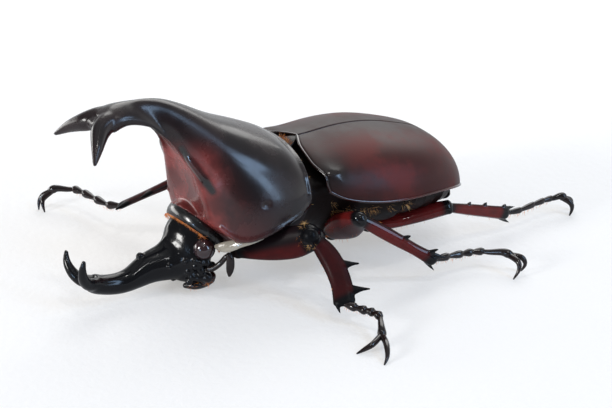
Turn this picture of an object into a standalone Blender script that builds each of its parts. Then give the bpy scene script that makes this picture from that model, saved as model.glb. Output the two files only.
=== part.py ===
"""Rhinoceros beetle, male: a still, life-size model with a forked horn on the thorax and on the head.

The beetle faces -Y, its left side is +X and it stands on the floor at z = 0. Shapes are worked out in
millimetres, and each finished piece is scaled by MM to metres. The body's plane of symmetry is x = 0.
"""

import math
from collections import namedtuple

import bmesh
import bpy
from mathutils import Matrix, Vector

MM = 0.001
GAP = 0.3  # air kept where two pieces meet
FLOOR = Vector((0.0, 0.0, 0.0))
DOWN = Vector((0.0, 0.0, -1.0))
MIDDLE = Vector((-0.7, 3.3, 0.0))  # the middle of the beetle's reach, which becomes the origin

# Colour, roughness and metallic value of each shell
SHELLS = {
    "shell_black": ((0.012, 0.010, 0.010), 0.18, 0.0),
    "shell_dark_red": ((0.060, 0.010, 0.008), 0.15, 0.0),
    "wing_case_red": ((0.050, 0.008, 0.007), 0.28, 0.0),
    "leg_red": ((0.110, 0.010, 0.008), 0.22, 0.0),
    "eye_brown": ((0.030, 0.012, 0.010), 0.08, 0.0),
    "feeler_brown": ((0.030, 0.014, 0.010), 0.30, 0.0),
    "belly_black": ((0.018, 0.012, 0.010), 0.35, 0.0),
}

# Body sections, each standing on the middle plane: top y and z, bottom y and z, half width, level of
# the widest place from 0 to 1, roundness above and below it (1 is a straight slope, 2 an ellipse) and the
# depth of a hollow in the under side
PRONOTUM = [
    (-5.1, 19.7, -6.4, 5.8, 10.2, 0.56, 2.1, 1.5, 0.0),
    (-7.2, 21.5, -8.3, 5.0, 11.1, 0.45, 2.1, 1.2, 0.0),
    (-11.6, 23.6, -12.6, 4.6, 11.6, 0.34, 2.1, 1.1, 0.0),
    (-16.0, 25.5, -16.8, 4.8, 10.6, 0.26, 2.1, 1.3, 0.0),
    (-20.0, 27.7, -19.4, 7.4, 8.2, 0.24, 2.1, 2.0, 0.2),
    (-23.0, 29.1, -20.0, 12.4, 5.7, 0.22, 2.0, 2.6, 0.4),
    (-25.4, 29.7, -19.7, 16.4, 3.9, 0.21, 2.0, 3.0, 0.5),
    (-27.6, 29.9, -21.2, 20.8, 2.9, 0.28, 2.0, 3.0, 0.4),
    (-29.6, 29.9, -24.9, 25.2, 2.9, 0.42, 2.0, 2.6, 0.3),
    (-31.5, 29.6, -28.8, 27.0, 2.7, 0.50, 2.0, 2.2, 0.1),
    (-33.2, 29.0, -31.2, 26.4, 2.8, 0.50, 2.0, 2.0, 0.0),
    (-35.4, 27.8, -34.0, 25.2, 3.2, 0.50, 2.0, 2.0, 0.0),
]
HORN_ROOT = Vector((0.0, -23.2, 24.0))
HORN_WAY = Vector((0.0, -1.0, -0.09)).normalized()
FORK = Vector((0.0, -34.0, 27.2))
FORK_WAY = Vector((0.0, -0.92, -0.40)).normalized()
TINE_PATH = [(1.2, -32.2, 28.0), (2.1, -33.7, 27.3), (3.4, -34.6, 26.8), (4.8, -35.5, 26.0), (6.5, -36.8, 24.5)]
TINE_SIZES = [(1.3, 1.3), (1.25, 1.3), (1.0, 1.05), (0.7, 0.75), (0.14, 0.16)]

# The neck opening of the pronotum, where the head begins
NECK_TOP = Vector((0.0, -22.3, 12.0))
NECK_LOW = Vector((0.0, -16.4, 4.6))
NECK_WAY = Vector((0.0, -0.772, -0.636)).normalized()
NECK_HALF = 5.1
COLLAR = 1.4  # length of the black collar in front of the red shell
HEAD_ROLL = math.radians(8.0)  # the head is held tilted, its left side up
ROLL_CENTRE = Vector((0.0, 0.0, 6.0))

HEAD = [
    (-20.9, 12.6, -14.8, 5.2, 5.3, 0.50, 1.8, 2.0, 0.0),
    (-22.0, 11.4, -16.4, 4.2, 5.3, 0.50, 1.6, 2.0, 0.0),
    (-23.0, 9.6, -17.6, 2.5, 5.2, 0.50, 1.4, 2.2, 0.0),
    (-23.7, 8.2, -19.4, 1.8, 4.7, 0.42, 1.4, 2.4, 0.0),
    (-24.4, 7.5, -21.4, 1.7, 3.5, 0.42, 1.5, 2.4, 0.0),
    (-25.1, 7.1, -22.9, 1.8, 2.8, 0.45, 1.7, 2.4, 0.0),
    (-27.2, 6.5, -26.0, 2.0, 2.0, 0.50, 1.8, 2.2, 0.0),
    (-28.6, 5.7, -28.4, 1.7, 1.75, 0.50, 2.0, 2.0, 0.0),
    (-30.0, 4.9, -30.6, 1.5, 1.6, 0.50, 2.0, 2.0, 0.0),
    (-31.6, 4.6, -32.8, 1.7, 1.5, 0.50, 2.0, 2.0, 0.0),
    (-33.5, 4.8, -35.2, 2.4, 1.6, 0.50, 2.0, 2.0, 0.0),
    (-35.2, 5.4, -37.0, 3.5, 1.9, 0.50, 2.0, 2.0, 0.0),
]
HEAD_HORN_ROOT = Vector((0.0, -24.4, 4.3))
HEAD_HORN_WAY = Vector((0.0, -0.94, -0.34)).normalized()
HEAD_TINE = [(0.8, -34.9, 4.0), (1.1, -36.3, 4.4), (1.9, -37.3, 5.5), (2.7, -37.7, 7.0), (3.1, -37.5, 8.4)]
HEAD_TINE_SIZES = [(0.9, 0.9), (0.95, 0.95), (0.8, 0.8), (0.58, 0.58), (0.32, 0.32)]
HORN_TOOTH = ((0.0, -27.6, 5.2), (0.0, -28.0, 6.7), 0.7)

EYE_PLACE = (4.65, -19.9, 7.3)
EYE_RADIUS = 1.25

# Wing cases: y, half width, level of the side edge and of the top along the body
WING_CASES = [
    (-5.4, 8.8, 15.0, 18.0),
    (-3.0, 10.3, 13.9, 19.3),
    (0.0, 11.6, 12.7, 19.4),
    (5.0, 12.6, 11.8, 19.7),
    (10.0, 12.9, 11.1, 19.4),
    (14.8, 12.3, 10.4, 18.4),
    (19.4, 10.5, 9.3, 16.6),
    (22.3, 7.9, 8.3, 14.1),
    (23.7, 5.3, 7.7, 11.9),
    (24.5, 2.6, 7.4, 9.6),
]
WING_ROUND = 2.2
WING_SHELL = 0.8
WING_END = 24.5


def catmull(p, q, r, s, t):
    """The value between q and r on a smooth curve through four values."""
    bend = 2 * p - 5 * q + 4 * r - s
    return 0.5 * (2 * q + (r - p) * t + bend * t * t + (3 * q - p - 3 * r + s) * t ** 3)


def smooth_rows(rows, steps):
    """Rows of numbers read along smooth curves through the given rows."""
    last = len(rows) - 1
    found = []
    for i in range(last):
        near = (rows[max(i - 1, 0)], rows[i], rows[i + 1], rows[min(i + 2, last)])
        for k in range(steps):
            found.append(tuple(catmull(*values, k / steps) for values in zip(*near)))
    found.append(tuple(rows[last]))
    return found


def row_at(rows, key):
    """The row whose first number is key, between the two rows beside it."""
    i = max(k for k in range(len(rows) - 1) if rows[k][0] <= key or k == 0)
    last = len(rows) - 1
    t = (key - rows[i][0]) / (rows[i + 1][0] - rows[i][0])
    near = (rows[max(i - 1, 0)], rows[i], rows[i + 1], rows[min(i + 2, last)])
    return tuple(catmull(*values, t) for values in zip(*near))


def rounded(value, power):
    """A sine or cosine bent to a flatter or a straighter round."""
    return math.copysign(abs(value) ** (2.0 / power), value)


def section(row, sides):
    """The points of one body section."""
    top_y, top_z, low_y, low_z, half, level, over, under, hollow = row
    low = Vector((0.0, low_y, low_z))
    rise = Vector((0.0, top_y, top_z)) - low
    points = []
    for i in range(sides):
        angle = 2 * math.pi * i / sides
        power = over if math.cos(angle) >= 0 else under
        across = rounded(math.sin(angle), power)
        height = rounded(math.cos(angle), power)
        height = level + (1 - level) * height if height >= 0 else level * (1 + height)
        if math.cos(angle) < 0:
            height += hollow / rise.length * (1 - across ** 2) ** 2
        points.append(low + rise * height + Vector((half * across, 0.0, 0.0)))
    return points


def skin(rings):
    """A closed bmesh over rings of points, with a flat face at each end."""
    bm = bmesh.new()
    loops = [[bm.verts.new(point) for point in ring] for ring in rings]
    for a, b in zip(loops, loops[1:]):
        for i in range(len(a)):
            j = (i + 1) % len(a)
            bm.faces.new((a[i], a[j], b[j], b[i]))
    bm.faces.new(loops[0])
    bm.faces.new(loops[-1])
    bmesh.ops.recalc_face_normals(bm, faces=bm.faces)
    return bm


def body(rows, sides, steps):
    """A smooth solid through the body sections."""
    return skin([section(row, sides) for row in smooth_rows(rows, steps)])


def limb(path, sizes, wide, sides=10, steps=2):
    """A tapering bar along a path; sizes are half width and half thickness, and wide is the width's way."""
    rows = smooth_rows([tuple(place) + tuple(size) for place, size in zip(path, sizes)], steps)
    places = [Vector(row[:3]) for row in rows]
    rings = []
    for i, row in enumerate(rows):
        along = (places[min(i + 1, len(rows) - 1)] - places[max(i - 1, 0)]).normalized()
        across = (wide - along * wide.dot(along)).normalized()
        up = along.cross(across)
        ring = []
        for k in range(sides):
            angle = 2 * math.pi * k / sides
            ring.append(places[i] + across * (row[3] * math.cos(angle)) + up * (row[4] * math.sin(angle)))
        rings.append(ring)
    return skin(rings)


def ball(place, radii, sides=14):
    """A rounded solid with the given half sizes."""
    bm = bmesh.new()
    bmesh.ops.create_uvsphere(bm, u_segments=sides, v_segments=sides // 2, radius=1.0)
    bmesh.ops.transform(bm, matrix=Matrix.Diagonal((*radii, 1.0)), verts=bm.verts)
    bmesh.ops.translate(bm, vec=Vector(place), verts=bm.verts)
    return bm


def spike(root, tip, radius, sides=5):
    """A slim cone from root to tip, with its root sunk by its own radius."""
    root, tip = Vector(root), Vector(tip)
    way = (tip - root).normalized()
    start = root - way * radius
    bm = bmesh.new()
    size = (tip - start).length
    bmesh.ops.create_cone(
        bm, cap_ends=True, segments=sides, radius1=radius, radius2=0.12 * radius, depth=size
    )
    turn = Vector((0.0, 0.0, 1.0)).rotation_difference(way).to_matrix().to_4x4()
    place = Matrix.Translation((start + tip) * 0.5)
    bmesh.ops.transform(bm, matrix=place @ turn, verts=bm.verts)
    return bm


def trim(bm, place, way):
    """Cut off what lies past place in the direction way, and close the cut with flat faces."""
    everything = bm.verts[:] + bm.edges[:] + bm.faces[:]
    bmesh.ops.bisect_plane(
        bm, geom=everything, plane_co=place, plane_no=way, clear_outer=True, dist=0.002
    )
    rim = [edge for edge in bm.edges if edge.is_boundary]
    bmesh.ops.holes_fill(bm, edges=rim, sides=0)
    bmesh.ops.recalc_face_normals(bm, faces=bm.faces)
    return bm


def roll_head(bm):
    """Tilt a piece of the head with the head."""
    bmesh.ops.rotate(bm, cent=ROLL_CENTRE, matrix=Matrix.Rotation(-HEAD_ROLL, 3, "Y"), verts=bm.verts)
    return bm


def as_object(name, bm, collection):
    """An object in the collection with the bmesh's shape; the bmesh is freed."""
    mesh = bpy.data.meshes.new(name)
    bm.to_mesh(mesh)
    bm.free()
    found = bpy.data.objects.new(name, mesh)
    collection.objects.link(found)
    return found


def combine(operation, first, others):
    """The closed bmesh that a Boolean on a collection of closed solids leaves."""
    scene_collection = bpy.context.scene.collection
    joining = bpy.data.collections.new("joining")
    scene_collection.children.link(joining)
    for other in others:
        as_object("joined_piece", other, joining)
    base = as_object("joined_base", first, scene_collection)
    join = base.modifiers.new("join", "BOOLEAN")
    join.operation = operation
    join.operand_type = "COLLECTION"
    join.collection = joining
    for solver in ("EXACT", "MANIFOLD"):
        join.solver = solver
        result = evaluated(base)
        if all(edge.is_manifold for edge in result.edges):
            break
    for piece in [base, *joining.objects]:
        bpy.data.objects.remove(piece, do_unlink=True)
    bpy.data.collections.remove(joining)
    return result


def evaluated(made):
    """The bmesh of an object with its modifiers applied, as its largest closed surface."""
    depsgraph = bpy.context.evaluated_depsgraph_get()
    mesh = bpy.data.meshes.new_from_object(made.evaluated_get(depsgraph))
    bm = bmesh.new()
    bm.from_mesh(mesh)
    bpy.data.meshes.remove(mesh)
    bmesh.ops.triangulate(bm, faces=bm.faces, quad_method="BEAUTY", ngon_method="BEAUTY")
    return keep_largest(bm)


def keep_largest(bm):
    """Keep the closed surface with the most area."""
    left = set(bm.faces)
    best, best_area = set(), 0.0
    while left:
        group, edge = set(), [left.pop()]
        while edge:
            face = edge.pop()
            group.add(face)
            for link in [other for side in face.edges for other in side.link_faces]:
                if link in left:
                    left.remove(link)
                    edge.append(link)
        area = sum(face.calc_area() for face in group)
        if area > best_area:
            best, best_area = group, area
    bmesh.ops.delete(bm, geom=[face for face in bm.faces if face not in best], context="FACES")
    return bm


def clear_scene():
    """Remove every object of the file that this script runs in."""
    for found in list(bpy.data.objects):
        bpy.data.objects.remove(found, do_unlink=True)


def shell_material(slot):
    """The Principled material of one shell."""
    if slot in bpy.data.materials:
        return bpy.data.materials[slot]
    colour, roughness, metallic = SHELLS[slot]
    material = bpy.data.materials.new(slot)
    material.use_nodes = True
    shader = material.node_tree.nodes["Principled BSDF"]
    shader.inputs["Base Color"].default_value = (*colour, 1.0)
    shader.inputs["Roughness"].default_value = roughness
    shader.inputs["Metallic"].default_value = metallic
    return material


class Beetle:
    """The collection and the parent empty that every piece of the beetle belongs to."""

    def __init__(self):
        self.collection = bpy.data.collections.new("rhinoceros_beetle")
        bpy.context.scene.collection.children.link(self.collection)
        self.root = bpy.data.objects.new("beetle_origin", None)
        self.root.location = -MIDDLE * MM
        self.collection.objects.link(self.root)

    def add(self, name, bm, slot):
        """A named piece in metres, shaded smooth, with its shell's material."""
        bmesh.ops.scale(bm, vec=(MM, MM, MM), verts=bm.verts)
        piece = as_object(name, bm, self.collection)
        piece.parent = self.root
        piece.data.materials.clear()
        piece.data.materials.append(shell_material(slot))
        piece.data.shade_smooth()
        piece.data.set_sharp_from_angle(angle=math.radians(40))
        return piece


def mirrored(place, side):
    """A place of the left side, or its mirror image on the right."""
    x, y, z = place
    return Vector((x * side, y, z))


SIDES = {"left": 1, "right": -1}

# The places of one leg, the half sizes of its thigh and shin with the ways in which they are widest, and
# how far the middle of the shin bows out of the straight line
Leg = namedtuple(
    "Leg", "inner hip knee ankle toes claws thigh shin broad wide bow", defaults=[(0.0, 0.0, 0.0)]
)

# Half sizes along a thigh from hip to knee, and along a shin from knee to foot: width and thickness
FRONT_THIGH = [(1.2, 1.3), (1.45, 1.4), (1.6, 1.4), (1.55, 1.4), (1.4, 1.3)]
MIDDLE_THIGH = [(1.4, 1.2), (2.1, 1.3), (2.4, 1.35), (2.0, 1.2), (1.3, 1.1)]
HIND_THIGH = [(1.5, 1.1), (1.9, 1.25), (1.9, 1.25), (1.6, 1.2), (1.1, 1.1)]
FRONT_SHIN = [(0.9, 0.8), (1.2, 0.85), (1.3, 0.8), (1.4, 0.75), (1.5, 0.7)]
MIDDLE_SHIN = [(0.85, 0.8), (1.1, 0.85), (1.1, 0.8), (0.95, 0.75), (1.15, 0.85)]
HIND_SHIN = [(0.7, 0.7), (0.85, 0.75), (0.95, 0.75), (1.0, 0.75), (1.1, 0.8)]

LEGS = {
    "front_left": Leg(
        inner=(2.2, -13.6, 6.8), hip=(4.8, -14.0, 5.0), knee=(14.0, -7.6, 10.1), ankle=(22.0, -7.2, 2.9),
        toes=[(23.4, -6.2, 2.7), (24.7, -5.4, 2.6), (25.7, -4.8, 2.6), (26.9, -4.5, 2.5), (29.7, -6.0, 1.1)],
        claws=[[(30.9, -8.2, 1.1), (30.8, -9.5, 0.6), (30.5, -10.5, -0.2)],
               [(32.3, -7.0, 1.3), (34.2, -8.1, 0.7), (34.9, -9.0, -0.2)]],
        thigh=FRONT_THIGH, shin=FRONT_SHIN, broad=(0.3, 0.2, 0.9), wide=(0.45, 0.86, 0.25),
        bow=(0.0, 1.2, 0.0)),
    "front_right": Leg(
        inner=(-2.2, -13.2, 6.8), hip=(-4.8, -13.1, 4.8), knee=(-14.4, -12.9, 10.1), ankle=(-21.5, -20.6, 4.3),
        toes=[(-24.1, -21.6, 3.6), (-27.4, -22.2, 3.5), (-30.6, -22.8, 3.5), (-32.8, -23.5, 3.5),
              (-35.2, -26.4, 3.0)],
        claws=[[(-35.9, -27.6, 2.2), (-36.0, -28.3, 1.2), (-35.6, -28.6, -0.2)],
               [(-35.2, -27.8, 2.0), (-34.8, -28.2, 1.2), (-34.2, -28.2, -0.2)]],
        thigh=FRONT_THIGH, shin=FRONT_SHIN, broad=(-0.3, 0.2, 0.9), wide=(0.55, -0.70, 0.1)),
    "middle_left": Leg(
        inner=(2.2, 2.0, 5.6), hip=(5.2, 1.2, 5.4), knee=(14.0, 0.4, 10.9), ankle=(17.6, 10.8, 3.4),
        toes=[(17.3, 13.6, 3.1), (17.3, 16.1, 2.9), (17.4, 17.8, 2.8), (17.8, 19.5, 2.7), (20.9, 22.2, 2.7)],
        claws=[[(22.8, 22.3, 2.4), (23.4, 22.1, 1.3), (23.4, 21.2, -0.2)],
               [(21.9, 23.6, 2.4), (22.4, 24.0, 1.4), (22.1, 23.6, 0.3)]],
        thigh=MIDDLE_THIGH, shin=MIDDLE_SHIN, broad=(0.1, -0.5, 0.8), wide=(0.5, 0.2, 0.8)),
    "middle_right": Leg(
        inner=(-2.2, 2.0, 5.6), hip=(-5.2, 1.2, 5.4), knee=(-13.9, 0.9, 10.6), ankle=(-20.2, 8.6, 3.3),
        toes=[(-21.3, 11.0, 3.0), (-22.1, 13.3, 2.9), (-22.7, 14.9, 2.8), (-23.1, 16.6, 2.7), (-23.9, 20.2, 2.6)],
        claws=[[(-24.6, 21.9, 2.2), (-24.5, 22.7, 1.2), (-24.0, 22.9, -0.2)],
               [(-23.3, 21.9, 2.3), (-22.9, 22.6, 1.3), (-22.7, 22.3, 0.3)]],
        thigh=MIDDLE_THIGH, shin=MIDDLE_SHIN, broad=(-0.1, -0.5, 0.8), wide=(-0.5, 0.2, 0.8)),
    "hind_left": Leg(
        inner=(2.2, 6.6, 5.4), hip=(4.4, 8.6, 4.5), knee=(9.0, 19.2, 6.5), ankle=(9.3, 30.2, 3.1),
        toes=[(9.2, 33.0, 2.9), (8.6, 36.0, 2.9), (8.2, 38.3, 2.9), (8.1, 40.0, 2.9), (8.7, 42.1, 2.8)],
        claws=[[(9.6, 42.8, 2.1), (9.9, 43.0, 1.1), (9.9, 42.6, -0.2)],
               [(8.3, 43.7, 2.0), (8.3, 44.2, 1.1), (8.5, 44.1, -0.2)]],
        thigh=HIND_THIGH, shin=HIND_SHIN, broad=(0.9, -0.4, 0.0), wide=(0.1, 0.25, 0.95)),
    "hind_right": Leg(
        inner=(-2.2, 6.2, 5.4), hip=(-4.6, 7.6, 4.6), knee=(-11.0, 14.8, 6.5), ankle=(-15.4, 23.6, 3.1),
        toes=[(-16.4, 25.9, 2.9), (-17.0, 28.0, 2.9), (-17.3, 29.7, 2.9), (-17.3, 31.2, 2.9), (-17.0, 33.8, 2.9)],
        claws=[[(-17.6, 35.3, 2.4), (-17.7, 35.9, 1.3), (-17.3, 35.9, -0.2)],
               [(-16.2, 35.3, 2.4), (-15.9, 35.9, 1.4), (-16.1, 35.7, 0.3)]],
        thigh=HIND_THIGH, shin=HIND_SHIN, broad=(-0.9, -0.4, 0.0), wide=(-0.1, 0.25, 0.95)),
}


def between(a, b, t):
    """The point the share t of the way from a to b."""
    return Vector(a).lerp(Vector(b), t)


def straight(a, b, count, past_start=0.0, past_end=0.0):
    """Evenly spaced points from a to b, the first and last moved outwards by the given lengths."""
    way = (Vector(b) - Vector(a)).normalized()
    points = [between(a, b, i / (count - 1)) for i in range(count)]
    points[0] -= way * past_start
    points[-1] += way * past_end
    return points


def bend_way(a, b, c):
    """The normal of the plane that halves the bend at b."""
    first = (Vector(b) - Vector(a)).normalized()
    second = (Vector(c) - Vector(b)).normalized()
    return (first + second).normalized()


def hip_way(leg):
    """The direction in which the thigh leaves its hip."""
    return (Vector(leg.knee) - Vector(leg.hip)).normalized()


def coxa(leg):
    """The hip joint's fixed half, a short bar from inside the body to the hip."""
    way = hip_way(leg)
    path = [Vector(leg.inner), between(leg.inner, leg.hip, 0.5), Vector(leg.hip) + way * 0.6]
    width, depth = leg.thigh[0]
    bar = limb(path, [(width + 0.4, depth + 0.4), (width + 0.3, depth + 0.3), (width, depth)],
               Vector(leg.broad))
    return trim(bar, Vector(leg.hip) - way * GAP / 2, way)


def femur(leg):
    """The thigh, cut flat at the hip and at the knee."""
    way = hip_way(leg)
    bend = bend_way(leg.hip, leg.knee, leg.ankle)
    path = straight(leg.hip, leg.knee, 5, past_start=1.0, past_end=2.0)
    bar = limb(path, leg.thigh, Vector(leg.broad))
    trim(bar, Vector(leg.hip) + way * GAP / 2, -way)
    return trim(bar, Vector(leg.knee) - bend * GAP / 2, bend)


def shin_frame(leg):
    """The directions along and across a shin; across points to its toothed edge."""
    along = (Vector(leg.ankle) - Vector(leg.knee)).normalized()
    wide = Vector(leg.wide)
    across = (wide - along * wide.dot(along)).normalized()
    return along, across


def shin_place(leg, share):
    """A point on the middle line of a shin, which bows a little between knee and ankle."""
    return between(leg.knee, leg.ankle, share) + Vector(leg.bow) * 4 * share * (1 - share)


def edge_tooth(leg, share, length, radius, lean=0.5):
    """A tooth on the outer edge of a shin, at a share of its length, leaning towards the foot."""
    along, across = shin_frame(leg)
    place = shin_place(leg, share)
    width = row_at([(i / 4, *size) for i, size in enumerate(leg.shin)], share)[1]
    root = place + across * (width - 0.6)
    middle = place + across * (width + length * 0.45) + along * length * lean * 0.5
    tip = place + across * (width + length) + along * length * lean
    sizes = [(radius * 2.4, 0.5), (radius, 0.4), (0.12, 0.1)]
    return limb([root, middle, tip], sizes, along, sides=6, steps=1)


def end_spur(leg, aside, length, lean):
    """A slim spur at the foot end of a shin, at a share of its half width aside."""
    along, across = shin_frame(leg)
    root = Vector(leg.ankle) + across * (leg.shin[-1][0] * aside) - along * 0.7
    tip = root + (along + across * lean).normalized() * (length + 0.7)
    return spike(root, tip, 0.32)


TEETH = {
    "front": [(0.50, 1.7, 0.42), (0.86, 2.0, 0.46)],
    "middle": [(0.55, 0.7, 0.35), (0.90, 1.0, 0.3)],
    "hind": [(0.34, 0.3, 0.3), (0.60, 0.4, 0.35), (0.93, 0.35, 0.4)],
}
SPURS = {
    "front": [(-0.6, 1.0, -0.1)],
    "middle": [(0.8, 1.6, 0.25), (-0.8, 1.7, -0.35)],
    "hind": [(0.75, 1.4, 0.2), (-0.8, 1.5, -0.3)],
}


def tibia(leg, kind):
    """The shin with its edge teeth and its end spurs."""
    bend = bend_way(leg.hip, leg.knee, leg.ankle)
    along, _ = shin_frame(leg)
    path = [shin_place(leg, i / 4) for i in range(5)]
    path[0] -= along * 1.8
    bar = limb(path, leg.shin, Vector(leg.wide))
    trim(bar, Vector(leg.knee) + bend * GAP / 2, -bend)
    teeth = [edge_tooth(leg, *tooth) for tooth in TEETH[kind]]
    spurs = [end_spur(leg, *spur) for spur in SPURS[kind]]
    return combine("UNION", bar, teeth + spurs)


TOE_WIDTH = {"front": 0.6, "middle": 0.56, "hind": 0.46}
TOE_ARCH = 0.3  # rise of the long last segment of a foot


def tarsus(leg, kind):
    """The foot: four bead-like segments, a long one and two claws that rest on the floor."""
    along, _ = shin_frame(leg)
    size = TOE_WIDTH[kind]
    joints = [Vector(leg.ankle) + along * GAP * 0.5, *[Vector(toe) for toe in leg.toes]]
    first = (joints[1] - joints[0]).normalized()
    side = Vector((0.0, 0.0, 1.0))
    pieces = []
    for i, (start, end) in enumerate(zip(joints, joints[1:])):
        way = (end - start).normalized()
        sunk = start - way * (0.9 if i == 0 else 0.35)
        shape = [(0.30, 0.30), (0.48, 0.48), (size, size), (0.42, 0.42)]
        stops = [0.0, 0.4, 0.85, 1.04]
        if i == 4:
            shape = [(0.30, 0.30), (0.45, 0.42), (0.52, 0.5), (0.66, 0.6)]
            stops = [0.0, 0.35, 0.8, 1.0]
        path = [sunk.lerp(end, stop) for stop in stops]
        if i == 4:
            path[2].z += TOE_ARCH
        pieces.append(limb(path, shape, side, sides=7, steps=1))
    trim(pieces[0], joints[0] + along * GAP * 0.5, -along)
    for claw in leg.claws:
        path = [joints[-1] - (joints[-1] - joints[-2]).normalized() * 0.5, *claw]
        sizes = [(0.42, 0.42), (0.40, 0.40), (0.32, 0.32), (0.16, 0.16)]
        pieces.append(trim(limb(path, sizes, side.cross(first), sides=6, steps=2), FLOOR, DOWN))
    return combine("UNION", pieces[0], pieces[1:])


def add_legs(beetle):
    """Three pairs of legs, each as thigh, shin and foot."""
    for name, leg in LEGS.items():
        kind = name.split("_")[0]
        beetle.add(f"femur_{name}", femur(leg), "leg_red")
        beetle.add(f"tibia_{name}", tibia(leg, kind), "leg_red")
        beetle.add(f"tarsus_{name}", tarsus(leg, kind), "shell_black")


def collar():
    """The black ring between the red shell and the head."""
    rows = []
    for forward, grow in ((-2.6, 0.2), (-1.2, 0.1), (0.0, 0.0)):
        top = NECK_TOP + NECK_WAY * forward
        low = NECK_LOW + NECK_WAY * forward
        rows.append((top.y, top.z, low.y, low.z, NECK_HALF + grow, 0.5, 2.0, 2.0, 0.0))
    return roll_head(skin([section(row, 28) for row in rows]))


def add_pronotum(beetle):
    """The thorax shield with its collar and front hips, the horn that rises from it, and the two tines."""
    shield = body(PRONOTUM, 32, 2)
    trim(shield, HORN_ROOT - HORN_WAY * GAP / 2, HORN_WAY)
    cut = cutter_past_neck()
    shield = combine("DIFFERENCE", shield, [cut])
    hips = [coxa(LEGS["front_left"]), coxa(LEGS["front_right"])]
    shield = combine("UNION", shield, [collar(), *hips])
    shield = combine("DIFFERENCE", shield, [roll_head(socket) for socket in eye_sockets()])
    beetle.add("pronotum", shield, "shell_dark_red")

    horn = body(PRONOTUM[5:], 24, 2)
    trim(horn, HORN_ROOT + HORN_WAY * GAP / 2, -HORN_WAY)
    trim(horn, FORK - FORK_WAY * GAP / 2, FORK_WAY)
    beetle.add("thorax_horn", horn, "shell_black")
    for side_name, side in SIDES.items():
        path = [mirrored(place, side) for place in TINE_PATH]
        tine = limb(path, TINE_SIZES, Vector((1.0, 0.0, 0.0)), sides=12)
        trim(tine, FORK + FORK_WAY * GAP / 2, -FORK_WAY)
        middle = Vector((side, 0.0, 0.0))
        trim(tine, middle * GAP / 2, -middle)
        beetle.add(f"thorax_horn_tine_{side_name}", tine, "shell_black")


def eye_sockets():
    """Two balls that clear the room for the eyes."""
    return [ball(mirrored(EYE_PLACE, side), (EYE_RADIUS + GAP,) * 3) for side in SIDES.values()]


def cutter_past_neck():
    """A block that covers the room in front of the neck, below the front of the shield."""
    middle = (NECK_TOP + NECK_LOW) / 2
    up = (NECK_TOP - NECK_LOW).normalized()
    reach = 12.0
    rings = []
    for forward in (-COLLAR, reach):
        centre = middle + NECK_WAY * forward
        ring = []
        for x, rise in ((-1, -1), (1, -1), (1, 1), (-1, 1)):
            ring.append(centre + Vector((x * reach, 0.0, 0.0)) + up * (rise * reach))
        rings.append(ring)
    return roll_head(skin(rings))


def add_head(beetle):
    """The head with its eye sockets, the head horn with its fork, and the two eyes."""
    head = body(HEAD[:7], 24, 2)
    trim(head, NECK_TOP + NECK_WAY * GAP, -NECK_WAY)
    trim(head, HEAD_HORN_ROOT - HEAD_HORN_WAY * GAP / 2, HEAD_HORN_WAY)
    beetle.add("head", roll_head(combine("DIFFERENCE", head, eye_sockets())), "shell_black")

    horn = body(HEAD[4:], 16, 2)
    trim(horn, HEAD_HORN_ROOT + HEAD_HORN_WAY * GAP / 2, -HEAD_HORN_WAY)
    parts = [spike(*HORN_TOOTH, sides=7)]
    for side in SIDES.values():
        path = [mirrored(place, side) for place in HEAD_TINE]
        parts.append(limb(path, HEAD_TINE_SIZES, Vector((1.0, 0.0, 0.0))))
    beetle.add("head_horn", roll_head(combine("UNION", horn, parts)), "shell_black")
    for side_name, side in SIDES.items():
        eye = ball(mirrored(EYE_PLACE, side), (EYE_RADIUS,) * 3)
        beetle.add(f"eye_{side_name}", roll_head(eye), "eye_brown")


def wing_base(share):
    """How far forward the front margin of a wing case reaches, from the suture to the side."""
    notch = 3.4 * max(0.0, 1.0 - share / 0.2)
    return -4.9 + notch + 2.4 * share ** 2 + 1.2 * math.sin(math.pi * share)


def wing_point(share, run, side):
    """A point of a wing case: share runs from the suture to the side edge, run from front to back."""
    front = wing_base(share)
    y = front + (WING_END - front) * run
    _, half, edge, top = row_at(WING_CASES, y)
    angle = math.pi / 2 * share
    inner = GAP / 2
    x = inner + (half - inner) * rounded(math.sin(angle), WING_ROUND)
    z = edge + (top - edge) * rounded(math.cos(angle), WING_ROUND)
    return Vector((x * side, y, z))


def add_wing_cases(beetle):
    """The two wing cases, curved shells that nearly meet along the back."""
    across, along = 11, 18
    for side_name, side in SIDES.items():
        bm = bmesh.new()
        rows = []
        for j in range(along + 1):
            run = math.sin(math.pi / 2 * j / along) ** 0.9
            rows.append([bm.verts.new(wing_point(i / across, run, side)) for i in range(across + 1)])
        for a, b in zip(rows, rows[1:]):
            for i in range(across):
                corners = (a[i], a[i + 1], b[i + 1], b[i])
                bm.faces.new(corners if side > 0 else corners[::-1])
        case = beetle.add(f"elytron_{side_name}", bm, "wing_case_red")
        wall = case.modifiers.new("wall", "SOLIDIFY")
        wall.thickness = WING_SHELL * MM
        wall.offset = -1.0
        wall.use_even_offset = True


def trunk_row(y, low_z, room, under):
    """A section of the trunk, kept under the wing cases by the given room."""
    steeper = 1.3 * max(y / WING_END, 0.0) ** 2  # more room where the cases fall away behind
    _, half, edge, top = row_at(WING_CASES, y + steeper)
    top -= room
    return (y, top, y, low_z, half - room, (edge - low_z) / (top - low_z), 2.2, under, 0.0)


UNDER_CASES = WING_SHELL + 0.5
BELLY_START = 9.9
BELLY_END = 22.0
BELLY_RINGS = 6
BELLY_STEP = 0.3  # how far each belly ring stands over the groove in front of it


def belly_low(y):
    """The level of the belly's keel, which rises to the tail."""
    return 5.15 - 0.4 * (y - BELLY_START) / (BELLY_END - BELLY_START)


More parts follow.
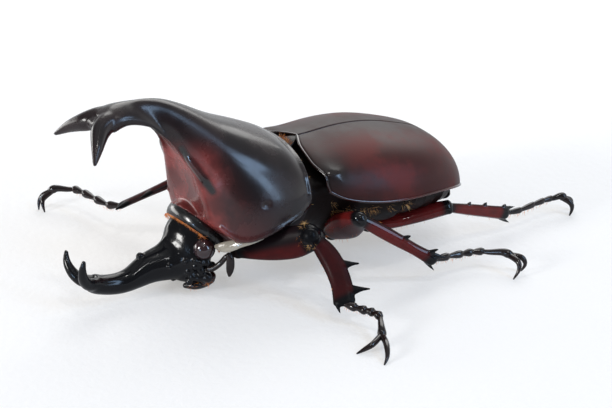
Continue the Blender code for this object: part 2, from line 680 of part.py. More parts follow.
def add_trunk(beetle):
    """The hind thorax with four hips, and the ringed belly."""
    rows = [(-4.9, 17.0, -5.9, 6.2, 8.4, 0.6, 2.2, 1.3, 0.0)]
    rows += [trunk_row(y, low, room, 1.1) for y, low, room in
             ((-2.0, 4.8, 2.2), (2.0, 4.2, 1.6), (6.0, 4.0, 1.45), (9.6, 4.2, 1.45))]
    chest = body(rows, 28, 2)
    hips = [coxa(LEGS[name]) for name in ("middle_left", "middle_right", "hind_left", "hind_right")]
    beetle.add("metathorax", combine("UNION", chest, hips), "belly_black")

    rings = []
    ring_length = (BELLY_END - BELLY_START) / BELLY_RINGS
    for i in range(BELLY_RINGS):
        for share, step in ((0.0, BELLY_STEP), (0.1, 0.0)):
            y = BELLY_START + ring_length * (i + share)
            rings.append(section(trunk_row(y, belly_low(y) + step, UNDER_CASES + step / 2, 1.4), 24))
    rings.append(section(trunk_row(BELLY_END, belly_low(BELLY_END), UNDER_CASES, 1.4), 24))
    beetle.add("abdomen", skin(rings), "belly_black")


# The tail plate: y, half width, level of the top and of the bottom
TAIL_PLATE = [
    (22.3, 5.5, 10.1, 4.8),
    (22.9, 4.6, 8.9, 4.8),
    (23.4, 3.5, 7.7, 5.1),
    (23.8, 2.3, 6.7, 5.5),
]


def add_tail_plate(beetle):
    """The rounded plate that closes the belly behind, under the ends of the wing cases."""
    rows = [(y, top, y, low, half, 0.35, 2.2, 1.6, 0.0) for y, half, top, low in TAIL_PLATE]
    beetle.add("pygidium", body(rows, 20, 2), "belly_black")


SCUTELLUM = [(-5.1, 1.3), (-3.6, 1.25), (-2.2, 0.6)]  # places along the body and half widths there


def add_scutellum(beetle):
    """The small heart-shaped plate between the bases of the wing cases."""
    rings = []
    for y, half in SCUTELLUM:
        _, _, _, top = row_at(WING_CASES, y)
        rings.append(section((y, top - 0.05, y, top - 0.75, half, 0.4, 2.0, 3.0, 0.0), 12))
    beetle.add("scutellum", skin(rings), "shell_black")


def add_feelers(beetle):
    """Feelers with their clubs, jaws and mouth feelers on both sides of the head."""
    for side_name, side in SIDES.items():
        path = [mirrored(place, side) for place in
                ((5.3, -19.4, 3.9), (5.9, -18.4, 4.2), (6.5, -17.4, 5.2), (6.7, -16.9, 5.7))]
        stem = limb(path, [(0.35, 0.35), (0.3, 0.3), (0.28, 0.28), (0.4, 0.4)], Vector((0, 0, 1)), sides=8)
        club = limb([mirrored(place, side) for place in
                     ((6.7, -16.9, 5.9), (6.7, -16.8, 5.2), (6.7, -16.7, 4.1), (6.6, -16.6, 3.1))],
                    [(0.35, 0.3), (0.62, 0.42), (0.68, 0.45), (0.3, 0.25)], Vector((0, 1, 0)), sides=10)
        beetle.add(f"antenna_{side_name}", roll_head(combine("UNION", stem, [club])), "feeler_brown")
        jaw = limb([mirrored(place, side) for place in
                    ((2.9, -18.4, 1.25), (3.2, -19.6, 1.15), (2.9, -20.9, 1.0), (2.0, -22.0, 0.95))],
                   [(0.8, 0.4), (1.0, 0.42), (0.9, 0.4), (0.4, 0.3)], Vector((1, 0, 0)), sides=8)
        beetle.add(f"mandible_{side_name}", roll_head(jaw), "shell_black")
        palp = limb([mirrored(place, side) for place in
                     ((4.3, -16.9, 2.9), (4.7, -17.3, 2.4), (4.9, -18.1, 2.0), (4.9, -19.0, 1.8))],
                    [(0.28, 0.28), (0.32, 0.32), (0.4, 0.4), (0.25, 0.25)], Vector((0, 0, 1)), sides=8)
        beetle.add(f"palp_{side_name}", roll_head(palp), "feeler_brown")


def main():
    clear_scene()
    beetle = Beetle()
    add_pronotum(beetle)
    add_head(beetle)
    add_wing_cases(beetle)
    add_trunk(beetle)
    add_tail_plate(beetle)
    add_scutellum(beetle)
    add_feelers(beetle)
    add_legs(beetle)


main()
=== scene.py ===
"""Rhinoceros beetle, male: fine shell, legs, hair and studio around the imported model.

Shapes are worked out in millimetres in the beetle's own frame, in which it faces -Y, its left side is +X
and x = 0 is its middle plane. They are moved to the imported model's frame, in metres, as pieces are made.
"""

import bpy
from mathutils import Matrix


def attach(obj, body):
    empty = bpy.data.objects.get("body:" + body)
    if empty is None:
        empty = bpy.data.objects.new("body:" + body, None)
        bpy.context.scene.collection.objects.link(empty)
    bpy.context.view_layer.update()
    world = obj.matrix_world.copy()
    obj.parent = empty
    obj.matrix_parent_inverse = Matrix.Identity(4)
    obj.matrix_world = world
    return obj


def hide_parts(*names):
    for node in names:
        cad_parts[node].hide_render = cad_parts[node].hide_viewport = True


bl_info = {
    "name": "Rhinoceros Beetle",
    "version": (1, 0, 0),
    "blender": (4, 5, 0),
    "location": "3D View > Sidebar > Beetle",
    "description": "Builds the shell, legs, hair and studio of a life-size rhinoceros beetle",
    "category": "Object",
}

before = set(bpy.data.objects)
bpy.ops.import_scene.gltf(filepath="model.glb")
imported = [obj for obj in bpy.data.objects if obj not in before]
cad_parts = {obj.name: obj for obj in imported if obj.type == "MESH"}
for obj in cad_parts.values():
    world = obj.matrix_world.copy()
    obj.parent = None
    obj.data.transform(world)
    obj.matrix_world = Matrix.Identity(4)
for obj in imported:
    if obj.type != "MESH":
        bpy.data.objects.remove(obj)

import math

import bpy
import numpy as np
from bpy.props import FloatProperty, FloatVectorProperty, IntProperty, PointerProperty
from mathutils import Quaternion, Vector

MM = 0.001
MIDDLE = np.array((-0.7, 3.3, 0.0))  # the place in the beetle's frame that is the model's origin
SIDES = {"left": 1.0, "right": -1.0}

ACROSS = (1.0, 0.0, 0.0)
UP = (0.0, 0.0, 1.0)

# Body sections of the shield and its horn: top y and z, bottom y and z, half width, level of the widest
# place, roundness above and below it, and the depth of a hollow in the under side
SHIELD = [
    (-5.1, 19.7, -6.4, 5.8, 10.2, 0.56, 2.1, 1.8, 0.0),
    (-7.2, 21.5, -8.3, 5.0, 11.1, 0.45, 2.1, 1.4, 0.0),
    (-11.6, 23.6, -12.6, 4.6, 11.6, 0.34, 2.1, 1.1, 0.0),
    (-16.0, 25.5, -16.8, 4.8, 10.6, 0.26, 2.1, 1.3, 0.0),
    (-20.0, 27.7, -19.1, 7.4, 7.4, 0.24, 2.1, 2.0, 0.0),
    (-23.0, 29.1, -19.8, 12.4, 5.1, 0.18, 2.0, 2.0, 0.0),
    (-25.4, 29.7, -19.9, 16.4, 3.5, 0.14, 2.0, 2.2, 0.0),
    (-27.6, 29.9, -21.1, 20.8, 2.6, 0.20, 2.0, 2.8, 0.2),
    (-29.6, 29.9, -24.7, 25.2, 2.7, 0.36, 2.0, 2.8, 0.3),
    (-31.5, 29.6, -28.8, 26.8, 2.8, 0.50, 2.0, 2.2, 0.1),
    (-33.2, 29.0, -31.4, 26.1, 2.9, 0.50, 2.0, 2.0, 0.0),
]
SHIELD_SIDES = 160
SHIELD_BEAD = 1.9  # thickness of the shield's margin beads against those of the wing cases
# The rows of the finely stepped shield along which its side margins run
SIDE_MARGIN_ROWS = slice(4, 62)
TINE_PATH = [(0.9, -30.8, 28.1), (1.3, -32.4, 27.9), (2.2, -33.7, 27.3), (3.4, -34.6, 26.7),
             (4.8, -35.5, 25.9), (6.5, -36.7, 24.6)]
TINE_SIZES = [(1.5, 1.3), (1.5, 1.4), (1.35, 1.4), (1.1, 1.15), (0.78, 0.85), (0.3, 0.34)]
# The sharp edge between the front wall and the side, and the polished swelling beside it
WALL_EDGE = [(2.2, -25.7, 26.0), (2.4, -24.6, 25.0), (2.5, -23.2, 23.5), (3.1, -22.0, 21.4),
             (4.4, -21.0, 19.2), (5.8, -20.1, 17.4), (6.5, -19.5, 16.7)]
WALL_EDGE_SIZES = [(0.2, 0.2), (0.25, 0.25), (0.25, 0.25), (0.3, 0.28), (0.33, 0.26), (0.3, 0.22),
                   (0.15, 0.15)]
SWELLING = [(3.3, -21.9, 22.9), (4.0, -21.4, 21.5), (5.0, -20.7, 20.0), (6.0, -19.9, 18.4),
            (6.7, -19.2, 17.1)]
SWELLING_SIZES = [(0.25, 0.25), (0.68, 0.68), (0.7, 0.7), (0.56, 0.56), (0.2, 0.2)]
# The rolled lower margin beside the neck
FOLD = [(6.0, -18.7, 8.0), (7.2, -18.3, 8.3), (8.4, -17.7, 8.8), (9.6, -16.7, 9.5), (10.6, -15.2, 10.0),
        (11.2, -13.9, 10.3)]
FOLD_SIZES = [(0.3, 0.2), (0.7, 0.32), (0.8, 0.36), (0.65, 0.32), (0.5, 0.28), (0.2, 0.15)]
FOLD_WAY = np.array((0.485, -0.168, -0.809))
# The rounded bottom of the fork: place and half sizes
FORK_BED = (0.0, -33.2, 27.6)
FORK_BED_SIZES = (2.4, 1.2, 1.0)
# The dimple in the side and the groove beside the swelling: both ends, depth and reach
SHIELD_DIPS = [
    ((10.9, -13.3, 15.0), (11.0, -12.9, 15.0), 0.25, 0.35),
    ((6.9, -18.7, 18.4), (4.7, -20.8, 21.8), 0.15, 0.6),
]

# The neck opening of the shield, where the head begins, and the directions in which it and the collar face
NECK_TOP = np.array((0.0, -22.2, 11.2))
NECK_LOW = np.array((0.0, -16.3, 5.0))
NECK_WAY = np.array((0.0, -0.725, -0.689))
COLLAR_WAY = np.array((0.0, -0.5, -0.866))
NECK_HALF = 5.05
# Rings round the neck: how far forward of the opening, and how much wider than it
COLLAR = [(-2.7, -1.6), (-2.1, -0.6), (-1.5, 0.02), (-0.9, 0.13), (-0.4, 0.1), (-0.1, 0.0), (0.0, -0.25),
          (0.03, -0.6)]
COLLAR_LENGTH = 1.6
NECK_LIP = [(-4.6, -3.0), (-3.8, -2.2), (-3.1, -1.4), (-2.3, -0.6), (-COLLAR_LENGTH, 0.15)]
# The head is tilted about a line along the body
HEAD_ROLL = math.radians(8.0)
ROLL_CENTRE = np.array((0.0, 0.0, 6.0))

# Body sections of the head and its horn, as for the shield
HEAD = [
    (-19.8, 12.2, -14.6, 7.2, 3.7, 0.50, 1.8, 2.0, 0.0),
    (-20.6, 11.6, -15.4, 6.6, 4.0, 0.50, 1.8, 2.0, 0.0),
    (-21.9, 10.7, -16.8, 5.2, 4.35, 0.50, 1.7, 2.0, 0.0),
    (-23.0, 9.6, -17.8, 3.0, 4.7, 0.50, 1.5, 2.2, 0.0),
    (-23.7, 8.2, -19.4, 1.8, 4.7, 0.42, 1.4, 2.4, 0.0),
    (-24.4, 7.5, -21.4, 1.7, 3.5, 0.42, 1.5, 2.4, 0.0),
    (-25.1, 7.1, -22.9, 1.8, 2.8, 0.45, 1.7, 2.4, 0.0),
    (-27.2, 6.5, -26.0, 2.0, 2.0, 0.50, 1.8, 2.2, 0.0),
    (-28.6, 5.7, -28.4, 1.7, 1.75, 0.50, 2.0, 2.0, 0.0),
    (-30.0, 4.9, -30.6, 1.5, 1.6, 0.50, 2.0, 2.0, 0.0),
    (-31.6, 4.6, -32.8, 1.7, 1.5, 0.50, 2.0, 2.0, 0.0),
    (-33.5, 4.8, -35.2, 2.4, 1.6, 0.50, 2.0, 2.0, 0.0),
    (-34.6, 5.2, -36.3, 3.1, 1.7, 0.50, 2.0, 2.0, 0.0),
]
HEAD_TINE = [(0.8, -34.9, 4.0), (1.1, -36.3, 4.4), (1.9, -37.3, 5.5), (2.7, -37.7, 7.0), (3.1, -37.5, 8.4)]
HEAD_TINE_SIZES = [(0.9, 0.9), (0.95, 0.95), (0.8, 0.8), (0.58, 0.58), (0.32, 0.32)]
HORN_TOOTH = [(0.0, -26.8, 4.8), (0.0, -27.3, 5.6), (0.0, -27.8, 6.3)]
HORN_TOOTH_SIZES = [(0.95, 1.2), (0.8, 0.95), (0.5, 0.6)]
CHIN = (0.0, -20.4, 2.5)
CHIN_SIZES = (3.9, 2.9, 1.5)
# Knobs on the cheeks: place and size
CHEEK_KNOBS = [
    (3.5, -22.0, 3.5, 0.62),
    (3.7, -21.6, 2.6, 0.60),
    (4.4, -21.3, 4.3, 0.55),
    (4.6, -21.3, 5.2, 0.45),
    (4.7, -20.5, 4.7, 0.60),
    (4.5, -20.5, 3.5, 0.60),
    (4.9, -19.6, 4.6, 0.55),
    (4.2, -20.8, 2.4, 0.60),
    (3.3, -22.0, 1.9, 0.60),
    (4.0, -19.9, 1.8, 0.65),
    (4.7, -18.9, 3.9, 0.70),
    (2.9, -21.0, 1.2, 0.55),
    (4.6, -19.7, 2.3, 0.80),
    (3.9, -22.5, 5.2, 0.35),
    (2.7, -24.6, 4.6, 0.30),
]
EYE_PLACE = np.array((4.8, -19.9, 6.75))
EYE_WAY = np.array((0.86, -0.42, 0.28))
EYE_RADIUS = 1.5
EYE_SIZES = EYE_RADIUS * np.array((0.96, 1.0, 1.04))
JAW = [(2.9, -18.4, 1.25), (3.2, -19.6, 1.15), (2.9, -20.9, 1.0), (2.0, -22.0, 0.95)]
JAW_SIZES = [(0.7, 0.6), (0.85, 0.7), (0.8, 0.65), (0.4, 0.4)]
MOUTH_FEELER = [(3.9, -18.6, 2.7), (4.3, -18.5, 2.3), (4.5, -18.8, 1.9), (4.5, -19.4, 1.6)]
MOUTH_FEELER_SIZES = [(0.25, 0.25), (0.3, 0.3), (0.34, 0.34), (0.2, 0.2)]
FEELER_STEM = [(4.9, -19.4, 3.6), (5.5, -18.9, 3.8), (6.1, -18.1, 4.5), (6.7, -17.5, 5.4), (6.9, -17.2, 5.5)]
FEELER_STEM_SIZES = [(0.5, 0.5), (0.42, 0.42), (0.4, 0.4), (0.38, 0.38), (0.4, 0.4)]
FEELER_LEAF = [(6.9, -17.2, 5.7), (7.0, -17.0, 5.1), (6.95, -17.0, 4.2), (6.8, -17.1, 3.2),
               (6.7, -17.2, 2.5)]
FEELER_LEAF_SIZES = [(0.3, 0.16), (0.52, 0.24), (0.6, 0.28), (0.5, 0.24), (0.2, 0.12)]
LEAF_SPACING = 0.32

# Wing cases: y, half width, level of the side edge and of the top along the body
WING_CASES = [
    (-5.4, 8.8, 15.9, 18.0),
    (-3.0, 10.3, 14.8, 19.3),
    (0.0, 11.6, 13.1, 19.5),
    (5.0, 12.6, 12.0, 19.8),
    (10.0, 12.9, 11.6, 19.4),
    (14.8, 12.3, 11.3, 18.2),
    (19.4, 10.5, 10.4, 16.6),
    (22.3, 7.9, 9.2, 14.3),
    (23.7, 5.3, 8.3, 12.1),
    (24.5, 2.6, 7.8, 9.8),
]
# How far forward the wing cases reach, from the suture to the side
WING_BASE = [(0.0, -1.8), (0.1, -2.7), (0.2, -3.2), (0.35, -3.5), (0.5, -3.6), (0.6, -3.4), (0.7, -3.05),
             (0.8, -2.85), (0.9, -2.85), (1.0, -2.5)]
WING_ROUND = 2.2
WING_END = 24.5
HALF_SUTURE = 0.12
# The bump on a wing case's shoulder: both ends, reach, and how far it stands up and out
SHOULDER = ((9.6, -2.0, 16.7), (9.9, -1.1, 16.5))
SHOULDER_REACH = 1.4
SHOULDER_UP = 0.25
SHOULDER_OUT = 0.45
# The small plate between the wing cases: y and half width
SCUTELLUM = [(-5.2, 1.9), (-4.7, 2.1), (-4.0, 1.9), (-3.0, 1.3), (-2.2, 0.75), (-1.7, 0.25)]

# Hind thorax behind its first section: y, level of the under side, room below the wing cases, roundness
HIND_THORAX_FRONT = (-5.2, 17.0, -6.4, 5.5, 8.6, 0.6, 2.2, 2.0, 0.0)
HIND_THORAX = [(-2.0, 4.7, 2.0, 1.7), (2.0, 4.2, 1.5, 1.5), (6.0, 4.0, 1.1, 1.6), (9.6, 4.2, 0.95, 1.8)]
BELLY_START = 9.6
BELLY_LENGTH = 12.4
BELLY_RINGS = 6
# One ring of the belly: share of its length, and how far its surface stands out
BELLY_RING = [(0.0, 0.28), (0.04, 0.05), (0.1, 0.0), (0.4, 0.02), (0.7, 0.08), (0.9, 0.2), (0.98, 0.28)]
BELLY_RING_RISE = 0.28
# Tail plate: y, half width, level of its top and of its bottom
TAIL_PLATE = [(21.6, 6.2, 11.0, 4.7), (22.3, 5.5, 10.1, 4.8), (22.9, 4.6, 8.9, 4.8), (23.4, 3.5, 7.7, 5.1),
              (23.8, 2.3, 6.7, 5.5), (23.95, 1.0, 6.2, 5.8)]

# Tufts at the mouth and the eye, and along the side of the trunk: place and size
MOUTH_TUFTS = [(3.0, -21.3, 1.1, 0.4), (4.3, -19.6, 1.7, 0.4), (4.6, -19.9, 8.2, 0.3)]
BELLY_TUFTS = [
    (8.0, -0.1, 9.9, 0.6),
    (8.7, -0.9, 11.6, 0.3),
    (9.2, 1.3, 10.5, 0.6),
    (10.0, 3.3, 10.3, 0.4),
    (10.5, 4.8, 10.2, 0.6),
    (11.0, 7.3, 10.2, 0.35),
    (11.3, 9.8, 10.1, 0.5),
]
# Two tufts at a front knee, from its middle, and their size
KNEE_TUFTS = [(-0.8, -0.8, 1.4), (0.9, -0.7, -0.8)]
KNEE_TUFT_SIZE = 0.45
# Where rows of hair cross the under side
UNDER_SIDE_ROWS = (-12.5, -1.0, 4.0, 8.5, 11.6, 13.7, 15.7, 17.8, 19.9, 21.8)

# Name, direction in degrees, distance, width and height in metres, slant in degrees, brightness and colour
STUDIO_LIGHTS = [
    ("window_light", (115.0, 25.0), 0.6, (0.11, 0.34), 0.0, 8.6, (0.48, 0.70, 1.0)),
    ("high_window_light", (129.0, 44.0), 0.6, (0.19, 0.10), 8.0, 8.6, (0.46, 0.68, 1.0)),
    ("far_window_light", (-128.0, 42.0), 0.6, (0.50, 0.36), 0.0, 3.1, (1.0, 0.99, 0.97)),
    ("front_light", (5.0, 18.0), 0.6, (0.13, 0.13), 0.0, 38.0, (1.0, 0.99, 0.97)),
    ("low_front_light", (-55.0, 7.0), 0.6, (0.50, 0.16), 0.0, 5.0, (1.0, 0.99, 0.97)),
    ("small_blue_light", (24.0, 5.0), 0.6, (0.07, 0.07), 0.0, 24.0, (0.45, 0.68, 1.0)),
    ("ceiling_light", (90.0, 74.0), 0.7, (0.05, 0.05), 0.0, 70.0, (1.0, 0.98, 0.95)),
    ("side_light", (71.0, 46.0), 0.7, (0.03, 0.03), 0.0, 80.0, (1.0, 1.0, 1.0)),
]
LIGHTS_AIM = (0.0, 0.0, 0.01)
FLOOR_REACH = 4.0
# The floor's own glow, painted light that lifts the shade round the beetle
FLOOR_GLOW = 0.42
# How much of the floor's painted glow is left in its painted shadow near the beetle, and in its mirror
# images
GLOW_IN_PAINTED_SHADOW = 0.92
GLOW_IN_PAINTED_REFLECTIONS = 0.15
ROOM_GLOW = 1.05
ROOM_ABOVE = 0.5
ROOM_DIM = 0.14
CAMERA_PLACE = (199.47, -122.92, 111.31)
CAMERA_AIM = (3.7, -5.3, 9.621)


class BeetleSizes(bpy.types.PropertyGroup):
    """Sizes of the beetle's fine forms."""

    grain: FloatProperty(
        name="Skin grain", description="Size of the net that fused shell pieces are drawn with",
        default=0.2 * MM, min=0.1 * MM, unit="LENGTH", precision=5)
    rim: FloatProperty(
        name="Margin bead", description="Half thickness of the raised rim of shield and wing cases",
        default=0.2 * MM, min=0.05 * MM, unit="LENGTH", precision=5)
    wing_wall: FloatProperty(
        name="Wing case wall", description="Thickness of a wing case",
        default=0.55 * MM, min=0.2 * MM, unit="LENGTH", precision=5)
    hair_length: FloatProperty(
        name="Hair length", description="Length of the hair at the joints of the body",
        default=1.2 * MM, min=0.1 * MM, unit="LENGTH", precision=5)
    hair_width: FloatProperty(
        name="Hair width", description="Half thickness of a hair at its root",
        default=0.03 * MM, min=0.01 * MM, unit="LENGTH", precision=6)
    seed: IntProperty(name="Seed", description="Chooses how the hair scatters", default=7, min=0)


def colour_property(name, description, default):
    """A colour that a user may change."""
    return FloatVectorProperty(
        name=name, description=description, subtype="COLOR", size=3, min=0.0, max=1.0, default=default)


class BeetleColours(bpy.types.PropertyGroup):
    """Colours of the shell, the hair and the floor."""

    black: colour_property("Black shell", "Darkest shell of horns and head", (0.005, 0.005, 0.006))
    red: colour_property("Red shell", "Thin reddish shell of the shield's front", (0.24, 0.040, 0.036))
    wing: colour_property("Wing case", "Brown-red of the wing cases", (0.105, 0.009, 0.007))
    leg: colour_property("Leg", "Dark red of thighs and shins", (0.14, 0.011, 0.010))
    eye: colour_property("Eye", "Purple-brown of the eyes", (0.030, 0.011, 0.013))
    gold: colour_property("Golden hair", "Hair under the shield and the wing cases", (0.85, 0.50, 0.16))
    orange: colour_property("Orange hair", "Hair at the neck and the mouth", (1.0, 0.32, 0.03))
    floor: colour_property("Floor", "Pale floor under the beetle", (0.52, 0.52, 0.525))


def sizes():
    """The sizes in millimetres."""
    values = bpy.context.scene.beetle_sizes
    names = ("grain", "rim", "wing_wall", "hair_length", "hair_width")
    return {name: getattr(values, name) / MM for name in names}


def colour(name):
    """One of the beetle's colours with full strength."""
    return (*getattr(bpy.context.scene.beetle_colours, name), 1.0)


# Curves and surfaces


def curve_through(table, steps):
    """Rows of numbers read along smooth curves through the rows of a table."""
    table = np.asarray(table, float)
    padded = np.vstack([table[:1], table, table[-1:]])
    found = []
    for p, q, r, s in zip(padded, padded[1:], padded[2:], padded[3:]):
        for t in np.arange(steps) / steps:
            found.append(q + 0.5 * ((r - p) * t + (2 * p - 5 * q + 4 * r - s) * t * t
                                    + (3 * q - p - 3 * r + s) * t ** 3))
    found.append(table[-1])
    return np.array(found)


def eased(values, passes):
    """The same rows with their bends spread out and both ends kept."""
    values = values.copy()
    for _ in range(passes):
        values[1:-1] = (values[:-2] + 2 * values[1:-1] + values[2:]) / 4
    return values


def unit(vectors):
    """Vectors of length one."""
    return vectors / np.maximum(np.linalg.norm(vectors, axis=-1, keepdims=True), 1e-9)


def powered(values, power):
    """Sines or cosines bent to a flatter or a straighter round."""
    return np.copysign(np.abs(values) ** (2.0 / power), values)


def section(row, sides):
    """The points of one body section."""
    top_y, top_z, low_y, low_z, half, level, over, under, hollow = row
    low = np.array((0.0, low_y, low_z))
    rise = np.array((0.0, top_y, top_z)) - low
    angle = 2 * np.pi * np.arange(sides) / sides
    upper = np.cos(angle) >= 0
    power = np.where(upper, over, under)
    across = powered(np.sin(angle), power)
    height = powered(np.cos(angle), power)
    height = np.where(upper, level + (1 - level) * height, level * (1 + height))
    height = np.where(upper, height, height + hollow / np.linalg.norm(rise) * (1 - across ** 2) ** 2)
    return low + height[:, None] * rise + np.outer(half * across, (1.0, 0.0, 0.0))


class Shape:
    """Points in millimetres, and faces as lists of their numbers."""

    def __init__(self, points, faces):
        self.points = np.asarray(points, float)
        self.faces = faces

    def moved(self, change):
        """The same faces on changed points."""
        return Shape(change(self.points), self.faces)


def joined(shapes):
    """Several shapes as one."""
    points, faces, start = [], [], 0
    for shape in shapes:
        points.append(shape.points)
        faces += [[number + start for number in face] for face in shape.faces]
        start += len(shape.points)
    return Shape(np.vstack(points), faces)


def loft(rings):
    """A tube over rings of points, with a flat face at each end."""
    rings = np.asarray(rings)
    count, sides = rings.shape[:2]
    faces = []
    for i in range(count - 1):
        a, b = i * sides, (i + 1) * sides
        for k in range(sides):
            n = (k + 1) % sides
            faces.append([a + k, a + n, b + n, b + k])
    faces.append(list(range(sides))[::-1])
    faces.append(list(range((count - 1) * sides, count * sides)))
    return outward(Shape(rings.reshape(-1, 3), faces))


def outward(shape):
    """The shape with its faces turned to point out of the space that it encloses."""
    volume = 0.0
    for face in shape.faces:
        corners = shape.points[face]
        for b, c in zip(corners[1:], corners[2:]):
            volume += np.dot(corners[0], np.cross(b, c))
    if volume < 0:
        shape.faces = [face[::-1] for face in shape.faces]
    return shape


def body(rows, sides, steps, passes=4):
    """A smooth solid through body sections."""
    return loft([section(row, sides) for row in eased(curve_through(rows, steps), passes)])


def limb(path, extents, wide, sides=20, steps=6, blunt=True, ribs=0, rib_depth=0.0, passes=2):
    """A tapering bar along a path; extents are half width and half thickness, wide is the width's way."""
    table = np.hstack([np.array(path, float), np.array(extents, float)])
    rows = eased(curve_through(table, steps), passes)
    places, size = rows[:, :3], rows[:, 3:]
    if blunt:
        places, size = with_round_ends(places, size)
    along = unit(np.gradient(places, axis=0))
    wide = np.asarray(wide, float)
    across = unit(wide - along * (along @ wide)[:, None])
    up = np.cross(along, across)
    angle = 2 * np.pi * np.arange(sides) / sides
    reach = 1.0 + rib_depth * np.cos(ribs * angle)
    rings = (places[:, None] + across[:, None] * (size[:, :1] * np.cos(angle) * reach)[..., None]
             + up[:, None] * (size[:, 1:2] * np.sin(angle) * reach)[..., None])
    return loft(rings)


def with_round_ends(places, size, turns=5):
    """A bar's middle line and sizes with half a ball added at each end."""
    for _ in range(2):
        way = unit(places[0] - places[1])
        radius = size[0].min()
        angle = np.pi / 2 * np.arange(1, turns + 1) / turns
        more = places[0] + np.outer(np.sin(angle) * radius, way)
        shrink = np.maximum(np.cos(angle), 0.04)[:, None] * size[0]
        places = np.vstack([more[::-1], places])[::-1]
        size = np.vstack([shrink[::-1], size])[::-1]
    return places, size


def ball(place, radii, sides=16):
    """A rounded lump with one half size or three."""
    angle = np.pi * (np.arange(sides) + 0.5) / sides
    turn = 2 * np.pi * np.arange(sides * 2) / (sides * 2)
    around = np.column_stack([np.cos(turn), np.sin(turn), np.ones(turn.size)])
    rings = [around * (np.sin(a), np.sin(a), np.cos(a)) for a in angle]
    return loft(np.array(rings) * radii + np.array(place))


def mirrored(path, side):
    """A path of the left side, or its mirror image on the right."""
    return [(x * side, y, z) for x, y, z in path]


def rolled(points):
    """Points of the head, tilted with the head."""
    turn = -HEAD_ROLL
    x, y, z = (points - ROLL_CENTRE).T
    turned = np.column_stack([x * math.cos(turn) + z * math.sin(turn), y,
                              -x * math.sin(turn) + z * math.cos(turn)])
    return turned + ROLL_CENTRE


# Meshes


def mesh_of(shape):
    """A Blender mesh of a shape, in millimetres."""
    mesh = bpy.data.meshes.new("shape")
    mesh.from_pydata(shape.points.tolist(), [], shape.faces)
    mesh.update()
    return mesh


def in_scene(mesh, name="working"):
    """An object in the scene with a mesh."""
    found = bpy.data.objects.new(name, mesh)
    bpy.context.scene.collection.objects.link(found)
    return found


def finished_mesh(working):
    """The plain mesh that an object's modifiers leave; the object is removed."""
    graph = bpy.context.evaluated_depsgraph_get()
    mesh = bpy.data.meshes.new_from_object(working.evaluated_get(graph))
    old = working.data
    bpy.data.objects.remove(working, do_unlink=True)
    if old.users == 0:
        bpy.data.meshes.remove(old)
    return mesh


def fused(shapes, grain, passes):
    """One closed skin round shapes that overlap, with its creases eased."""
    working = in_scene(mesh_of(joined(shapes)))
    skin = working.modifiers.new("skin", "REMESH")
    skin.mode = "VOXEL"
    skin.voxel_size = grain
    ease = working.modifiers.new("ease", "SMOOTH")
    ease.factor = 0.5
    ease.iterations = passes
    return finished_mesh(working)


def carved(shape, cutter):
    """A shape with the room of another taken out."""
    working = in_scene(mesh_of(shape))
    tool = in_scene(mesh_of(cutter))
    cut = working.modifiers.new("cut", "BOOLEAN")
    cut.operation = "DIFFERENCE"
    cut.solver = "EXACT"
    cut.object = tool
    mesh = finished_mesh(working)
    bpy.data.objects.remove(tool, do_unlink=True)
    return shape_of(mesh)


def thickened(shape, wall):
    """A surface made a closed shell, with its wall below it."""
    working = in_scene(mesh_of(shape))
    solid = working.modifiers.new("wall", "SOLIDIFY")
    solid.thickness = wall
    solid.offset = -1.0
    solid.use_even_offset = True
    solid.use_quality_normals = True
    return shape_of(finished_mesh(working))


def shape_of(mesh):
    """The shape of a mesh that is in millimetres."""
    return Shape(places_of(mesh), [list(face.vertices) for face in mesh.polygons])


def places_of(mesh):
    """The places of a mesh's vertices."""
    found = np.empty(len(mesh.vertices) * 3)
    mesh.vertices.foreach_get("co", found)
    return found.reshape(-1, 3)


def normals_of(mesh):
    """The normals of a mesh's vertices."""
    found = np.empty(len(mesh.vertices) * 3)
    mesh.vertex_normals.foreach_get("vector", found)
    return found.reshape(-1, 3)


def pushed(mesh, push):
    """Move each vertex along its normal by what push gives for all places, in millimetres."""
    places = places_of(mesh)
    places += normals_of(mesh) * push(places)[:, None]
    mesh.vertices.foreach_set("co", places.ravel())
    mesh.update()
    return mesh


def from_line(places, a, b):
    """Distance of places from the straight line between two points, and how far along it they are."""
    a, b = np.array(a, float), np.array(b, float)
    way = b - a
    share = np.clip((places - a) @ way / (way @ way), 0.0, 1.0)
    return np.linalg.norm(places - a - share[:, None] * way, axis=1), share


def hump(distance, reach):
    """A smooth hill that is 1 in its middle and fades out over its reach."""
    return np.exp(-(distance / reach) ** 2)


def both_sides(places):
    """Places folded over to the left side."""
    return np.column_stack([np.abs(places[:, 0]), places[:, 1], places[:, 2]])


def step(value, low, high):
    """0 below low, 1 above high and smooth between."""
    t = np.clip((value - low) / (high - low), 0.0, 1.0)
    return t * t * (3 - 2 * t)


def even(value):
    """A rule that gives every place the same value."""
    return lambda places: np.full(len(places), value)


def add_piece(name, mesh, finish, replaces=(), warmth=None, polish=None):
    """A named piece in the model's frame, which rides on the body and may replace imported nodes.

    Warmth and polish are rules that give each place its value.
    """
    for label, found in (("warmth", warmth), ("polish", polish)):
        if found is not None:
            values = mesh.attributes.new(label, "FLOAT", "POINT")
            values.data.foreach_set("value", np.asarray(found(places_of(mesh)), float))
    places = (places_of(mesh) - MIDDLE) * MM
    mesh.vertices.foreach_set("co", places.ravel())
    mesh.name = name
    mesh.materials.clear()
    mesh.materials.append(finish)
    mesh.polygons.foreach_set("material_index", np.zeros(len(mesh.polygons), dtype=np.int32))
    mesh.shade_smooth()
    mesh.update()
    piece = in_scene(mesh, name)
    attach(piece, "root")
    if replaces:
        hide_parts(*replaces)
    return piece


# Node trees


